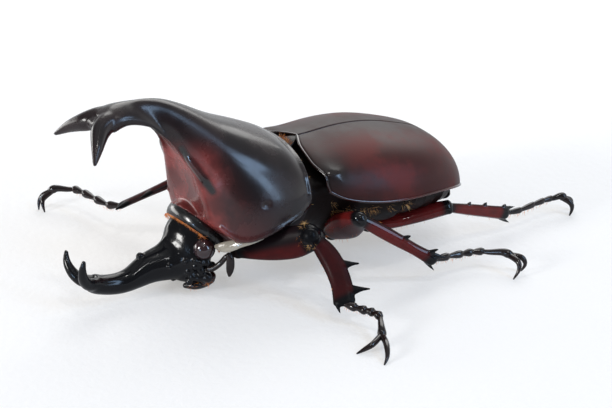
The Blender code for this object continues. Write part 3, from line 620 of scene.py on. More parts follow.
class Graph:
    """Adds nodes to a tree and wires them, so that a tree reads as a list of steps."""

    def __init__(self, tree):
        self.tree = tree

    def add(self, kind, inputs=None, **settings):
        """A node with its settings, and its inputs given as values or as other nodes' sockets."""
        found = self.tree.nodes.new(kind)
        for key, value in settings.items():
            setattr(found, key, value)
        for key, value in (inputs or {}).items():
            socket = self.socket(found.inputs, key)
            if isinstance(value, bpy.types.NodeSocket):
                self.tree.links.new(value, socket)
            else:
                socket.default_value = value
        return found

    @staticmethod
    def socket(sockets, key):
        """A socket by its number, or the first one in use that has the name."""
        if isinstance(key, int):
            return sockets[key]
        return next(found for found in sockets if found.name == key and found.enabled)

    def math(self, operation, a, b=0.0):
        """The result of one sum."""
        return self.add("ShaderNodeMath", {0: a, 1: b}, operation=operation).outputs[0]

    def vector(self, operation, inputs):
        """A node that works on vectors."""
        return self.add("ShaderNodeVectorMath", inputs, operation=operation)

    def spread(self, value, low, high, to_low=0.0, to_high=1.0, kind="SMOOTHSTEP"):
        """A value mapped from one range to another."""
        inputs = {"Value": value, "From Min": low, "From Max": high, "To Min": to_low, "To Max": to_high}
        return self.add("ShaderNodeMapRange", inputs, interpolation_type=kind).outputs[0]

    def mix(self, share, a, b):
        """A colour between two colours."""
        return self.add("ShaderNodeMix", {0: share, 6: a, 7: b}, data_type="RGBA").outputs[2]


def new_tree(name, kind, inputs, outputs):
    """An empty node tree with its inputs (name, kind and default) and outputs (name and kind)."""
    tree = bpy.data.node_groups.new(name, kind)
    for label, socket_kind, default in inputs:
        socket = tree.interface.new_socket(label, in_out="INPUT", socket_type=socket_kind)
        if default is not None:
            socket.default_value = default
    for label, socket_kind in outputs:
        tree.interface.new_socket(label, in_out="OUTPUT", socket_type=socket_kind)
    return tree


def shell_grain():
    """Group: clouding, fine pits and faint ripples of beetle shell."""
    if "shell_grain" in bpy.data.node_groups:
        return bpy.data.node_groups["shell_grain"]
    number = "NodeSocketFloat"
    inputs = [("Vector", "NodeSocketVector", None), ("Cloud Scale", number, 250.0),
              ("Pit Scale", number, 2200.0), ("Pit Size", number, 0.28), ("Pit Depth", number, 0.5),
              ("Ripple Scale", number, 700.0), ("Ripple Depth", number, 0.3)]
    tree = new_tree("shell_grain", "ShaderNodeTree", inputs, [("Cloud", number), ("Height", number)])
    g = Graph(tree)
    given = g.add("NodeGroupInput").outputs
    place = given["Vector"]
    cloud = g.add("ShaderNodeTexNoise", {"Vector": place, "Scale": given["Cloud Scale"], "Detail": 4.0,
                                         "Roughness": 0.6}).outputs["Fac"]
    cells = g.add("ShaderNodeTexVoronoi", {"Vector": place, "Scale": given["Pit Scale"]},
                  feature="F1").outputs["Distance"]
    pits = g.spread(cells, 0.0, given["Pit Size"], 1.0, 0.0)
    ripple = g.add("ShaderNodeTexNoise", {"Vector": place, "Scale": given["Ripple Scale"],
                                          "Detail": 2.0}).outputs["Fac"]
    height = g.math("SUBTRACT", g.math("MULTIPLY", ripple, given["Ripple Depth"]),
                    g.math("MULTIPLY", pits, given["Pit Depth"]))
    g.add("NodeGroupOutput", {"Cloud": g.spread(cloud, 0.3, 0.7), "Height": height})
    return tree


def new_material(name):
    """A new node material, with its graph and its Principled shader."""
    material = bpy.data.materials.new(name)
    material.use_nodes = True
    return material, Graph(material.node_tree), material.node_tree.nodes["Principled BSDF"]


def shell_material(name, cold, warm, roughness=(0.16, 0.26), coat=0.6, coat_roughness=0.06, relief=0.00002,
                   grain=None, warm_low=0.35, warm_high=0.95, specular=0.5):
    """Clouded, finely pitted shell: warmth shades it from cold to warm, and polish from matt to gloss.

    Relief is the depth of the pits and ripples in metres, and grain the values given to the grain group.
    """
    if name in bpy.data.materials:
        return bpy.data.materials[name]
    material, g, shader = new_material(name)
    place = g.add("ShaderNodeTexCoord").outputs["Object"]
    group = g.add("ShaderNodeGroup", node_tree=shell_grain())
    g.tree.links.new(place, group.inputs["Vector"])
    for key, value in (grain or {}).items():
        group.inputs[key].default_value = value
    warmth = g.add("ShaderNodeAttribute", attribute_name="warmth").outputs["Fac"]
    share = g.math("MULTIPLY", warmth, g.spread(group.outputs["Cloud"], 0.0, 1.0, warm_low, warm_high))
    tint = g.mix(share, cold, warm)
    g.tree.links.new(tint, shader.inputs["Base Color"])
    polish = g.add("ShaderNodeAttribute", attribute_name="polish").outputs["Fac"]
    matt = g.spread(polish, -1.0, 0.0, 1.0, 0.0)
    rough = g.math("MULTIPLY", g.spread(group.outputs["Cloud"], 0.0, 1.0, *roughness),
                   g.spread(polish, 0.0, 1.0, 1.0, 0.3))
    g.tree.links.new(g.math("MAXIMUM", rough, matt), shader.inputs["Roughness"])
    layer = g.math("SUBTRACT", g.spread(polish, 0.0, 1.0, coat, max(coat, 0.9)), matt)
    g.tree.links.new(g.math("MAXIMUM", layer, 0.0), shader.inputs["Coat Weight"])
    bump = g.add("ShaderNodeBump", {"Height": group.outputs["Height"], "Distance": relief, "Strength": 1.0})
    g.tree.links.new(bump.outputs["Normal"], shader.inputs["Normal"])
    shader.inputs["Specular IOR Level"].default_value = specular
    shader.inputs["Coat Roughness"].default_value = coat_roughness
    return material


def shield_shell():
    """Glossy shell of the shield and its horn, black above and dark red towards the head."""
    grain = {"Cloud Scale": 180.0, "Pit Scale": 2600.0, "Pit Size": 0.15, "Pit Depth": 0.12}
    return shell_material("shield_shell", colour("black"), colour("red"), roughness=(0.20, 0.30),
                          coat=0.1, relief=0.000006, specular=0.45, grain=grain)


def head_shell():
    """Wet-looking black shell of the head and its horn."""
    grain = {"Pit Scale": 1700.0, "Pit Size": 0.3, "Pit Depth": 0.6, "Ripple Scale": 900.0}
    return shell_material("head_shell", colour("black"), colour("red"), roughness=(0.14, 0.24),
                          coat=0.3, coat_roughness=0.1, relief=0.00003, specular=0.14, grain=grain)


def collar_shell():
    """Smooth black shell of the collar, softer in its shine than the head."""
    return shell_material("collar_shell", colour("black"), colour("red"), roughness=(0.18, 0.28),
                          coat=0.2, coat_roughness=0.05, relief=0.00001, specular=0.6,
                          grain={"Pit Depth": 0.1})


def fold_shell():
    """Painted highlight: the pale colour of the rolled margin beside the neck stands in for its glint, with
    streaky gloss.
    """
    grain = {"Pit Depth": 0.0, "Ripple Scale": 2600.0, "Ripple Depth": 0.8}
    return shell_material("fold_shell", (0.30, 0.27, 0.22, 1.0), colour("red"), roughness=(0.1, 0.3),
                          coat=0.8, coat_roughness=0.08, relief=0.00008, specular=1.0, grain=grain)


def wing_shell():
    """Half-gloss brown-red shell of the wing cases."""
    grain = {"Cloud Scale": 140.0, "Pit Scale": 1500.0, "Pit Size": 0.25, "Pit Depth": 0.6}
    return shell_material("wing_shell", (0.006, 0.003, 0.003, 1.0), colour("wing"), roughness=(0.40, 0.52),
                          coat=0.0, coat_roughness=0.08, specular=0.28, grain=grain)


def leg_shell():
    """Polished dark red shell of thighs and shins, black at the joints."""
    grain = {"Cloud Scale": 400.0, "Pit Scale": 1500.0, "Pit Size": 0.2, "Pit Depth": 0.5}
    return shell_material("leg_shell", colour("black"), colour("leg"), roughness=(0.18, 0.3),
                          coat=0.1, coat_roughness=0.08, specular=0.07, grain=grain,
                          warm_low=0.7, warm_high=1.0)


def claw_shell():
    """Hard black shell of feet and claws."""
    return shell_material("claw_shell", colour("black"), (0.022, 0.008, 0.006, 1.0), roughness=(0.1, 0.2),
                          coat=0.4, specular=0.3, grain={"Cloud Scale": 600.0, "Pit Depth": 0.2})


def belly_shell():
    """Duller black-brown shell of the under side, its near black partly its own colour and partly painted
    shade.
    """
    grain = {"Cloud Scale": 300.0, "Pit Scale": 1200.0, "Pit Size": 0.3, "Pit Depth": 0.8}
    return shell_material("belly_shell", (0.004, 0.0035, 0.0035, 1.0), (0.016, 0.006, 0.005, 1.0),
                          roughness=(0.35, 0.5), coat=0.0, relief=0.00004, specular=0.1, grain=grain)


def feeler_shell():
    """Brown-black shell of the feelers and mouth feelers."""
    return shell_material("feeler_shell", (0.006, 0.005, 0.005, 1.0), (0.060, 0.016, 0.009, 1.0),
                          roughness=(0.24, 0.34), coat=0.2, specular=0.35, grain={"Cloud Scale": 900.0})


def eye_gloss():
    """Polished eye with a net of tiny facets."""
    grain = {"Pit Scale": 9000.0, "Pit Size": 0.5, "Pit Depth": 0.8, "Ripple Depth": 0.0}
    return shell_material("eye_gloss", colour("black"), colour("eye"), roughness=(0.06, 0.10),
                          coat=1.0, coat_roughness=0.03, relief=0.000006, grain=grain)


def hair_material(name, tint):
    """Hair with a soft sheen, in darker and paler strands."""
    if name in bpy.data.materials:
        return bpy.data.materials[name]
    material, g, shader = new_material(name)
    place = g.add("ShaderNodeTexCoord").outputs["Object"]
    noise = g.add("ShaderNodeTexNoise", {"Vector": place, "Scale": 1500.0, "Detail": 2.0}).outputs["Fac"]
    dark = (tint[0] * 0.6, tint[1] * 0.45, tint[2] * 0.35, 1.0)
    g.tree.links.new(g.mix(g.spread(noise, 0.35, 0.65), dark, tint), shader.inputs["Base Color"])
    shader.inputs["Roughness"].default_value = 0.45
    shader.inputs["Sheen Weight"].default_value = 0.3
    return material


FULL_TURN = 6.283
HAIR_BEND = 0.25
SHORTEST_HAIR = 0.55  # a share of the longest


def hair_tree():
    """Geometry Nodes: tapered, slightly bent hairs that grow from the faces of a patch."""
    if "hair_growth" in bpy.data.node_groups:
        return bpy.data.node_groups["hair_growth"]
    number = "NodeSocketFloat"
    inputs = [("Geometry", "NodeSocketGeometry", None), ("Density", number, 1.0e7),
              ("Length", number, 0.001), ("Width", number, 0.00003),
              ("Sweep", "NodeSocketVector", (0.0, 0.0, 0.0)),
              ("Disorder", number, 0.25), ("Bend", number, 0.25), ("Seed", "NodeSocketInt", 0),
              ("Material", "NodeSocketMaterial", None)]
    tree = new_tree("hair_growth", "GeometryNodeTree", inputs, [("Geometry", "NodeSocketGeometry")])
    g = Graph(tree)
    given = g.add("NodeGroupInput").outputs
    roots = g.add("GeometryNodeDistributePointsOnFaces",
                  {"Mesh": given["Geometry"], "Density": given["Density"], "Seed": given["Seed"]},
                  distribute_method="RANDOM")
    stray = g.add("FunctionNodeRandomValue",
                  {0: (-1.0, -1.0, -1.0), 1: (1.0, 1.0, 1.0), "Seed": given["Seed"]},
                  data_type="FLOAT_VECTOR").outputs[0]
    stray = g.vector("SCALE", {0: stray, "Scale": given["Disorder"]}).outputs[0]
    way = g.vector("ADD", {0: roots.outputs["Normal"], 1: given["Sweep"]}).outputs[0]
    way = g.vector("ADD", {0: way, 1: stray}).outputs[0]
    turn = g.add("FunctionNodeAlignRotationToVector", {"Vector": way}, axis="Z").outputs[0]
    spin = g.add("FunctionNodeRandomValue", {2: 0.0, 3: FULL_TURN, "Seed": 5}, data_type="FLOAT").outputs[1]
    spin = g.add("FunctionNodeAxisAngleToRotation", {"Axis": UP, "Angle": spin}).outputs[0]
    turn = g.add("FunctionNodeRotateRotation", {0: turn, 1: spin}, rotation_space="LOCAL").outputs[0]
    tip = g.add("ShaderNodeCombineXYZ", {"X": given["Bend"], "Z": 1.0}).outputs[0]
    strand = g.add("GeometryNodeCurveQuadraticBezier",
                   {"Resolution": 4, "Start": (0.0, 0.0, 0.0), "Middle": (0.0, 0.0, 0.6),
                    "End": tip}).outputs[0]
    share = g.add("GeometryNodeSplineParameter").outputs["Factor"]
    taper = g.spread(share, 0.0, 1.0, 1.0, 0.12, "LINEAR")
    thick = g.math("MULTIPLY", taper, g.math("DIVIDE", given["Width"], given["Length"]))
    strand = g.add("GeometryNodeSetCurveRadius", {"Curve": strand, "Radius": thick}).outputs[0]
    outline = g.add("GeometryNodeCurvePrimitiveCircle", {"Resolution": 3, "Radius": 1.0}).outputs[0]
    solid = g.add("GeometryNodeCurveToMesh",
                  {"Curve": strand, "Profile Curve": outline, "Fill Caps": True, "Scale": thick}).outputs[0]
    reach = g.add("FunctionNodeRandomValue",
                  {2: g.math("MULTIPLY", given["Length"], SHORTEST_HAIR), 3: given["Length"], "Seed": 9},
                  data_type="FLOAT").outputs[1]
    grown = g.add("GeometryNodeInstanceOnPoints",
                  {"Points": roots.outputs["Points"], "Instance": solid, "Rotation": turn,
                   "Scale": reach}).outputs[0]
    grown = g.add("GeometryNodeRealizeInstances", {0: grown}).outputs[0]
    grown = g.add("GeometryNodeSetMaterial", {"Geometry": grown, "Material": given["Material"]}).outputs[0]
    g.add("NodeGroupOutput", {"Geometry": grown})
    return tree


def grow_hair(name, patch, finish, density, length, sweep=(0.0, 0.0, 0.0), disorder=0.25):
    """A piece of hair that grows from a patch; density is hairs for each square millimetre."""
    mesh = mesh_of(patch)
    mesh.vertices.foreach_set("co", ((places_of(mesh) - MIDDLE) * MM).ravel())
    mesh.update()
    working = in_scene(mesh, name)
    growth = working.modifiers.new("growth", "NODES")
    tree = hair_tree()
    growth.node_group = tree
    values = {"Density": density / MM ** 2, "Length": length * MM, "Width": sizes()["hair_width"] * MM,
              "Sweep": sweep, "Disorder": disorder, "Bend": HAIR_BEND,
              "Seed": bpy.context.scene.beetle_sizes.seed, "Material": finish}
    for item in tree.interface.items_tree:
        if item.in_out == "INPUT" and item.name in values:
            growth[item.identifier] = values[item.name]
    grown = finished_mesh(working)
    grown.name = name
    piece = in_scene(grown, name)
    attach(piece, "root")
    return piece


def ribbon(path, way, width):
    """A narrow strip along a path whose faces look the given way."""
    path = np.asarray(path, float)
    way = unit(np.broadcast_to(np.asarray(way, float), path.shape))
    side = unit(np.cross(unit(np.gradient(path, axis=0)), way)) * width / 2
    points = np.vstack([path - side, path + side])
    n = len(path)
    faces = [[i, i + 1, n + i + 1, n + i] for i in range(n - 1)]
    a, b, c = points[faces[0][0]], points[faces[0][1]], points[faces[0][2]]
    if np.dot(np.cross(b - a, c - b), way[0]) < 0:
        faces = [face[::-1] for face in faces]
    return Shape(points, faces)


# Legs

# What each pair of legs shares. Half sizes run along thigh and shin. A tooth has its share of the shin's
# length, its own length and its thickness; a spur its share of the half width aside, its length and its
# lean. Toe is the half width of the foot's beads, sag lowers the middle of the thigh, and lobe is the size
# of its two lobes at the knee. Glow is how red the shin is, and black the share of the thigh at which its
# red ends. Shade is painted shade: how much darker the thigh is above, or below where shade is negative.
# Shine is how polished thigh and shin are
LEG_KINDS = {
    "front": dict(
        thigh=[(1.2, 1.2), (1.7, 1.4), (2.15, 1.5), (2.4, 1.5), (2.0, 1.5)],
        shin=[(0.85, 0.7), (1.4, 0.7), (1.5, 0.6), (1.5, 0.55), (1.55, 0.55)],
        teeth=[(0.50, 1.7, 0.42), (0.86, 2.0, 0.46)],
        spurs=[(-0.6, 1.0, -0.1)],
        toe=0.68, sag=0.45, lobe=0.85, glow=0.22, black=0.9, shade=0.9, shine=-0.4),
    "middle": dict(
        thigh=[(1.4, 1.2), (2.1, 1.3), (2.4, 1.35), (2.0, 1.2), (1.3, 1.1)],
        shin=[(0.85, 0.8), (1.1, 0.85), (1.1, 0.8), (0.95, 0.75), (1.15, 0.85)],
        teeth=[(0.55, 0.7, 0.35), (0.90, 1.0, 0.3)],
        spurs=[(0.8, 1.6, 0.25), (-0.8, 1.7, -0.35)],
        toe=0.62, sag=0.0, lobe=0.52, glow=0.65, black=0.95, shade=-0.75, shine=0.4),
    "hind": dict(
        thigh=[(1.5, 1.1), (1.9, 1.25), (1.9, 1.25), (1.6, 1.2), (1.1, 1.1)],
        shin=[(0.7, 0.7), (0.85, 0.75), (0.95, 0.75), (1.0, 0.75), (1.1, 0.8)],
        teeth=[(0.34, 0.3, 0.3), (0.60, 0.4, 0.35), (0.93, 0.35, 0.4)],
        spurs=[(0.75, 1.4, 0.2), (-0.8, 1.5, -0.3)],
        toe=0.52, sag=0.0, lobe=0.6, glow=0.9, black=0.95, shade=-0.4, shine=0.6),
}

# Each leg's places, the ways in which its thigh (broad) and its shin (wide) are widest, and how far its shin
# bows out at the middle
LEGS = {
    "front_left": dict(
        inner=(2.2, -13.6, 6.8), hip=(4.8, -14.0, 5.9), knee=(14.0, -7.6, 10.1), ankle=(22.0, -7.2, 2.9),
        toes=[(23.4, -6.2, 2.7), (24.7, -5.4, 2.6), (25.7, -4.8, 2.6), (26.9, -4.5, 2.5), (29.7, -6.0, 1.1)],
        claws=[[(30.9, -8.2, 1.1), (30.8, -9.5, 0.6), (30.5, -10.5, 0.1)],
               [(32.3, -7.0, 1.3), (34.2, -8.1, 0.7), (34.9, -9.0, 0.1)]],
        broad=(0.3, 0.2, 0.9), wide=(0.45, 0.86, 0.25), bow=(0.0, 1.2, 0.0)),
    "front_right": dict(
        inner=(-2.2, -13.2, 6.8), hip=(-4.8, -13.1, 4.8), knee=(-14.4, -12.9, 10.1),
        ankle=(-21.5, -20.6, 4.3),
        toes=[(-24.1, -21.6, 3.6), (-27.4, -22.2, 3.5), (-30.6, -22.8, 3.5), (-32.8, -23.5, 3.5),
              (-35.2, -26.4, 3.0)],
        claws=[[(-35.9, -27.6, 2.2), (-36.0, -28.3, 1.2), (-35.6, -28.6, 0.1)],
               [(-35.2, -27.8, 2.0), (-34.8, -28.2, 1.2), (-34.2, -28.2, 0.1)]],
        broad=(-0.3, 0.2, 0.9), wide=(0.55, -0.70, 0.1), bow=(0.0, 0.0, 0.0)),
    "middle_left": dict(
        inner=(2.2, 2.0, 5.6), hip=(5.2, 1.2, 5.4), knee=(14.0, 0.4, 10.9), ankle=(17.6, 10.8, 3.4),
        toes=[(17.3, 13.6, 3.1), (17.3, 16.1, 2.9), (17.4, 17.8, 2.8), (17.8, 19.5, 2.7), (20.9, 22.2, 2.7)],
        claws=[[(22.8, 22.3, 2.4), (23.4, 22.1, 1.3), (23.4, 21.2, 0.1)],
               [(21.9, 23.6, 2.4), (22.4, 24.0, 1.4), (22.1, 23.6, 0.3)]],
        broad=(0.1, -0.5, 0.8), wide=(0.5, 0.2, 0.8), bow=(0.0, 0.0, 0.0)),
    "middle_right": dict(
        inner=(-2.2, 2.0, 5.6), hip=(-5.2, 1.2, 5.4), knee=(-13.9, 0.9, 10.6), ankle=(-20.2, 8.6, 3.3),
        toes=[(-21.3, 11.0, 3.0), (-22.1, 13.3, 2.9), (-22.7, 14.9, 2.8), (-23.1, 16.6, 2.7),
              (-23.9, 20.2, 2.6)],
        claws=[[(-24.6, 21.9, 2.2), (-24.5, 22.7, 1.2), (-24.0, 22.9, 0.1)],
               [(-23.3, 21.9, 2.3), (-22.9, 22.6, 1.3), (-22.7, 22.3, 0.3)]],
        broad=(-0.1, -0.5, 0.8), wide=(-0.5, 0.2, 0.8), bow=(0.0, 0.0, 0.0)),
    "hind_left": dict(
        inner=(2.2, 6.6, 5.4), hip=(4.4, 8.6, 4.5), knee=(9.0, 19.2, 6.5), ankle=(9.3, 30.2, 3.1),
        toes=[(9.2, 33.0, 2.9), (8.6, 36.0, 2.9), (8.2, 38.3, 2.9), (8.1, 40.0, 2.9), (8.7, 42.1, 2.8)],
        claws=[[(9.6, 42.8, 2.1), (9.9, 43.0, 1.1), (9.9, 42.6, 0.1)],
               [(8.3, 43.7, 2.0), (8.3, 44.2, 1.1), (8.5, 44.1, 0.1)]],
        broad=(0.9, -0.4, 0.0), wide=(0.1, 0.25, 0.95), bow=(0.0, 0.0, 0.0)),
    "hind_right": dict(
        inner=(-2.2, 6.2, 5.4), hip=(-4.6, 7.6, 4.6), knee=(-11.0, 14.8, 6.5), ankle=(-15.4, 23.6, 3.1),
        toes=[(-16.4, 25.9, 2.9), (-17.0, 28.0, 2.9), (-17.3, 29.7, 2.9), (-17.3, 31.2, 2.9),
              (-17.0, 33.8, 2.9)],
        claws=[[(-17.6, 35.3, 2.4), (-17.7, 35.9, 1.3), (-17.3, 35.9, 0.1)],
               [(-16.2, 35.3, 2.4), (-15.9, 35.9, 1.4), (-16.1, 35.7, 0.3)]],
        broad=(-0.9, -0.4, 0.0), wide=(-0.1, 0.25, 0.95), bow=(0.0, 0.0, 0.0)),
}

# Shares of a thigh's or a shin's length at which its half sizes are given
LIMB_STOPS = (0.0, 0.25, 0.5, 0.75, 1.0)
CLAW_SIZES = [(0.42, 0.42), (0.44, 0.42), (0.32, 0.3), (0.12, 0.12)]
SPUR_SIZES = [(0.34, 0.34), (0.26, 0.26), (0.06, 0.06)]
# Size of the net with which a thigh and a shin are drawn
THIGH_GRAIN = 0.15
SHIN_GRAIN = 0.13
# Shares of a foot segment's length at which its half sizes are given
TOE_STOPS = (0.0, 0.3, 0.72, 0.92, 1.02)
LAST_TOE_SIZES = [(0.28, 0.28), (0.42, 0.4), (0.54, 0.5), (0.68, 0.64), (0.6, 0.55)]
LAST_TOE_ARCH = (0.0, 0.0, 0.3, 0.2, 0.0)


def legs():
    """Each leg's name, with its own values as arrays and what it shares with its pair."""
    for name, own in LEGS.items():
        yield name, {**LEG_KINDS[name.split("_")[0]], **{key: np.array(value) for key, value in own.items()}}


def bent(start, end, bow, share):
    """A point between two points, on a line that bows out at its middle."""
    return start + (end - start) * share + bow * 4 * share * (1 - share)


def thigh_place(leg, share):
    """A point on the middle line of a thigh, which sags a little between hip and knee."""
    return bent(leg["hip"], leg["knee"], np.array((0.0, 0.0, -leg["sag"])), share)


def shin_place(leg, share):
    """A point on the middle line of a shin, which may bow between knee and ankle."""
    return bent(leg["knee"], leg["ankle"], leg["bow"], share)


def knee_axle(leg):
    """The direction about which a knee turns."""
    return unit(np.cross(unit(leg["knee"] - leg["hip"]), unit(leg["ankle"] - leg["knee"])))


def shin_frame(leg):
    """The directions along and across a shin; across points to its toothed edge."""
    along = unit(leg["ankle"] - leg["knee"])
    return along, unit(leg["wide"] - along * (leg["wide"] @ along))


def hip_shape(leg):
    """The hip, fixed in the trunk, that carries the thigh."""
    inner, hip = leg["inner"], leg["hip"]
    width, depth = leg["thigh"][0]
    path = [inner, (inner + hip) / 2, hip - unit(leg["knee"] - hip) * 0.4]
    extents = [(width + more, depth + more) for more in (0.5, 0.4, 0.1)]
    return limb(path, extents, leg["broad"], sides=32, steps=8)


def thigh_shapes(leg):
    """A thigh, broad in its middle, with two lobes at the knee that hold the shin between them."""
    hip, knee, axle = leg["hip"], leg["knee"], knee_axle(leg)
    way = unit(knee - hip)
    path = [hip - way * 0.2, *[thigh_place(leg, share) for share in LIMB_STOPS[1:4]], knee - way * 0.1]
    shapes = [limb(path, leg["thigh"], leg["broad"], sides=40, steps=10)]
    size = leg["thigh"][-1][1] * leg["lobe"]
    half_width = 0.12
    for aside in (-0.62, 0.62):
        lobe = knee + axle * aside * size + way * 0.2
        ends = [lobe - axle * half_width, lobe + axle * half_width]
        shapes.append(limb(ends, [(size, size)] * 2, way, sides=24, steps=3))
    return shapes


def shin_shapes(leg):
    """A ribbed shin with its knee knob, edge teeth and end spurs."""
    along, _ = shin_frame(leg)
    path = [shin_place(leg, share) for share in (*LIMB_STOPS[:4], 0.98)]
    path[0] = path[0] - along * 0.2
    shin = limb(path, leg["shin"], leg["wide"], sides=40, steps=10, ribs=6, rib_depth=0.035)
    teeth = [tooth_shape(leg, *tooth) for tooth in leg["teeth"]]
    spurs = [spur_shape(leg, *spur) for spur in leg["spurs"]]
    return [shin, ball(leg["knee"], leg["lobe"]), *teeth, *spurs]


def tooth_shape(leg, share, length, thickness):
    """A tooth on the outer edge of a shin, leaning towards the foot."""
    along, across = shin_frame(leg)
    width = np.interp(share, LIMB_STOPS, [half for half, _ in leg["shin"]])
    root = shin_place(leg, share)
    path = [root + across * (width - 0.6), root + across * (width + length * 0.45) + along * length * 0.25,
            root + across * (width + length) + along * length * 0.5]
    extents = [(thickness * 2.2, 0.45), (thickness * 0.8, 0.32), (0.16, 0.14)]
    return limb(path, extents, along, sides=16, steps=6)


def spur_shape(leg, aside, length, lean):
    """A spur at the foot end of a shin."""
    along, across = shin_frame(leg)
    sunk = 0.7
    root = leg["ankle"] + across * leg["shin"][-1][0] * aside - along * sunk
    tip = root + unit(along + across * lean) * (length + sunk)
    return limb([root, (root + tip) / 2, tip], SPUR_SIZES, across, sides=12, steps=5)


def foot_shapes(leg):
    """The foot: four bead-like segments, a long one, and two claws."""
    joints = [leg["ankle"], *leg["toes"]]
    size = leg["toe"]
    bead_sizes = [(0.26, 0.26), (0.36, 0.36), (size * 0.9, size * 0.9), (size * 0.95, size * 0.9),
                  (0.5, 0.4)]
    shapes = []
    for number, (start, end) in enumerate(zip(joints[:4], joints[1:])):
        shapes.append(toe_shape(start, end, 0.5 if number == 0 else 0.3, bead_sizes, (0.0,) * 5))
    shapes.append(toe_shape(*joints[4:], 0.3, LAST_TOE_SIZES, LAST_TOE_ARCH))
    root = joints[-1] - unit(joints[-1] - joints[-2]) * 0.3
    shapes += [limb([root, *claw], CLAW_SIZES, (0.1, 0.0, 1.0), sides=16, steps=8) for claw in leg["claws"]]
    return shapes


def toe_shape(start, end, sunk, extents, arch):
    """One segment of a foot, sunk into the one before it, with its middle line raised by arch."""
    start = start - unit(end - start) * sunk
    path = [start + (end - start) * stop + (0.0, 0.0, rise) for stop, rise in zip(TOE_STOPS, arch)]
    return limb(path, extents, UP, sides=20, steps=6)


# Shield and collar


class BEETLE_OT_shield(bpy.types.Operator):
    """Build the shield of the thorax with its forked horn."""

    bl_idname = "beetle.shield"
    bl_label = "Shield and horn"
    bl_options = {"REGISTER", "UNDO"}

    def execute(self, context):
        mesh = pushed(fused(shield_shapes(), sizes()["grain"], passes=9), shield_relief)
        nodes = ("pronotum", "thorax_horn", "thorax_horn_tine_left", "thorax_horn_tine_right")
        add_piece("shield_and_horn", mesh, shield_shell(), nodes, shield_warmth,
                  shield_polish)
        for name, side in SIDES.items():
            # The folds' pale colour is a painted highlight
            fold = limb(mirrored(FOLD, side), FOLD_SIZES, FOLD_WAY * (side, 1, 1), sides=28, steps=12)
            add_piece(f"shield_fold_{name}", mesh_of(fold), fold_shell(), warmth=even(0.0))
        return {"FINISHED"}


def shield_shapes():
    """The shield and all that grows into one skin with it."""
    dense = dense_shield()
    shield = carved(loft([section(row, SHIELD_SIDES) for row in dense]), neck_block())
    tines = [limb(mirrored(TINE_PATH, side), TINE_SIZES, ACROSS, sides=36, steps=10)
             for side in SIDES.values()]
    fronts = [limb(mirrored(path, side), extents, UP, sides=16, steps=8)
              for side in SIDES.values()
              for path, extents in ((WALL_EDGE, WALL_EDGE_SIZES), (SWELLING, SWELLING_SIZES))]
    bead = (sizes()["rim"] * SHIELD_BEAD,) * 2
    margin = side_margin(dense[SIDE_MARGIN_ROWS], inside=0.1)
    rims = [limb(path, [bead] * len(path), UP, sides=12, steps=1, passes=0)
            for path in (margin, margin * (-1.0, 1.0, 1.0), hind_margin(1))]
    bed = ball(FORK_BED, FORK_BED_SIZES, sides=24)
    return [shield, neck_tube(NECK_LIP), bed, *tines, *fronts, *rims]


def dense_shield():
    """The sections of the shield in fine steps."""
    return eased(curve_through(SHIELD, 16), 10)


def side_margin(rows, inside=0.0):
    """The line of the shield's widest places on the left, so far inside its surface."""
    rows = np.asarray(rows, float)
    top, low = rows[:, :2], rows[:, 2:4]
    return np.column_stack([rows[:, 4] - inside, low + (top - low) * rows[:, 5:6]])


def hind_margin(number):
    """The upper half of one of the shield's fine sections, with a little below each edge."""
    ring = section(dense_shield()[number], SHIELD_SIDES)
    quarter, past = SHIELD_SIDES // 4, 2
    return np.array([*ring[3 * quarter - past:], *ring[:quarter + past + 1]])


def neck_block():
    """The room in front of the neck, below the front of the shield."""
    middle = (NECK_TOP + NECK_LOW) / 2
    up = unit(NECK_TOP - NECK_LOW)
    reach = 12.0
    rings = []
    for forward in (-COLLAR_LENGTH, reach):
        centre = middle + NECK_WAY * forward
        rings.append([centre + np.array((x * reach, 0.0, 0.0)) + up * (rise * reach)
                      for x, rise in ((-1, -1), (1, -1), (1, 1), (-1, 1))])
    return loft(np.array(rings)).moved(rolled)


def neck_ring(forward, grow):
    """A body section along the neck's slant, so far forward of its opening and so much wider than it."""
    up = unit(NECK_TOP - NECK_LOW)
    top = NECK_TOP + COLLAR_WAY * forward + up * grow
    low = NECK_LOW + COLLAR_WAY * forward - up * grow
    return section((top[1], top[2], low[1], low[2], NECK_HALF + grow, 0.5, 2.0, 2.8, 0.0), 96)


def neck_tube(profile):
    """A solid through rings round the neck."""
    return loft(np.array([neck_ring(forward, grow) for forward, grow in profile])).moved(rolled)


def shield_relief(places):
    """The dimples and grooves of the shield."""
    folded = both_sides(places)
    return sum(-depth * hump(from_line(folded, a, b)[0], reach) for a, b, depth, reach in SHIELD_DIPS)


def shield_warmth(places):
    """How reddish the shield is: most on its front wall, less on its sides, and not on the swelling."""
    folded = both_sides(places)
    y, z = folded[:, 1:].T
    wall = (1 - step(y, -20.2, -17.6)) * (1 - step(z, 19.0, 25.0))
    flank = (1 - step(y, -19.0, -10.0)) * (1 - step(z, 9.0, 16.5))
    behind, _ = from_line(folded, (6.3, -18.6, 21.5), (9.0, -17.0, 15.5))
    warmth = np.clip(0.04 + 0.96 * wall + 0.34 * flank + 0.22 * hump(behind, 1.8), 0.0, 1.0)
    return warmth * (1 - on_swelling(folded))


def on_swelling(folded):
    """How much places belong to the polished swelling."""
    near = np.min([from_line(folded, a, b)[0] for a, b in zip(SWELLING, SWELLING[1:])], axis=0)
    return 1 - step(near, 0.5, 1.05)


def shield_polish(places):
    """How polished the shield is: most on the swellings, a little behind, and matt on the under side."""
    folded = both_sides(places)
    y, z = folded[:, 1:].T
    _, edge_y, edge_z = side_margin(SHIELD[4::-1]).T
    under = step(np.interp(y, edge_y, edge_z) - z, 0.4, 1.2) * step(y, -18.5, -16.5)
    hind = 0.3 * step(y, -9.5, -7.0)
    return (0.55 * on_swelling(folded) + hind) * (1 - under) - under


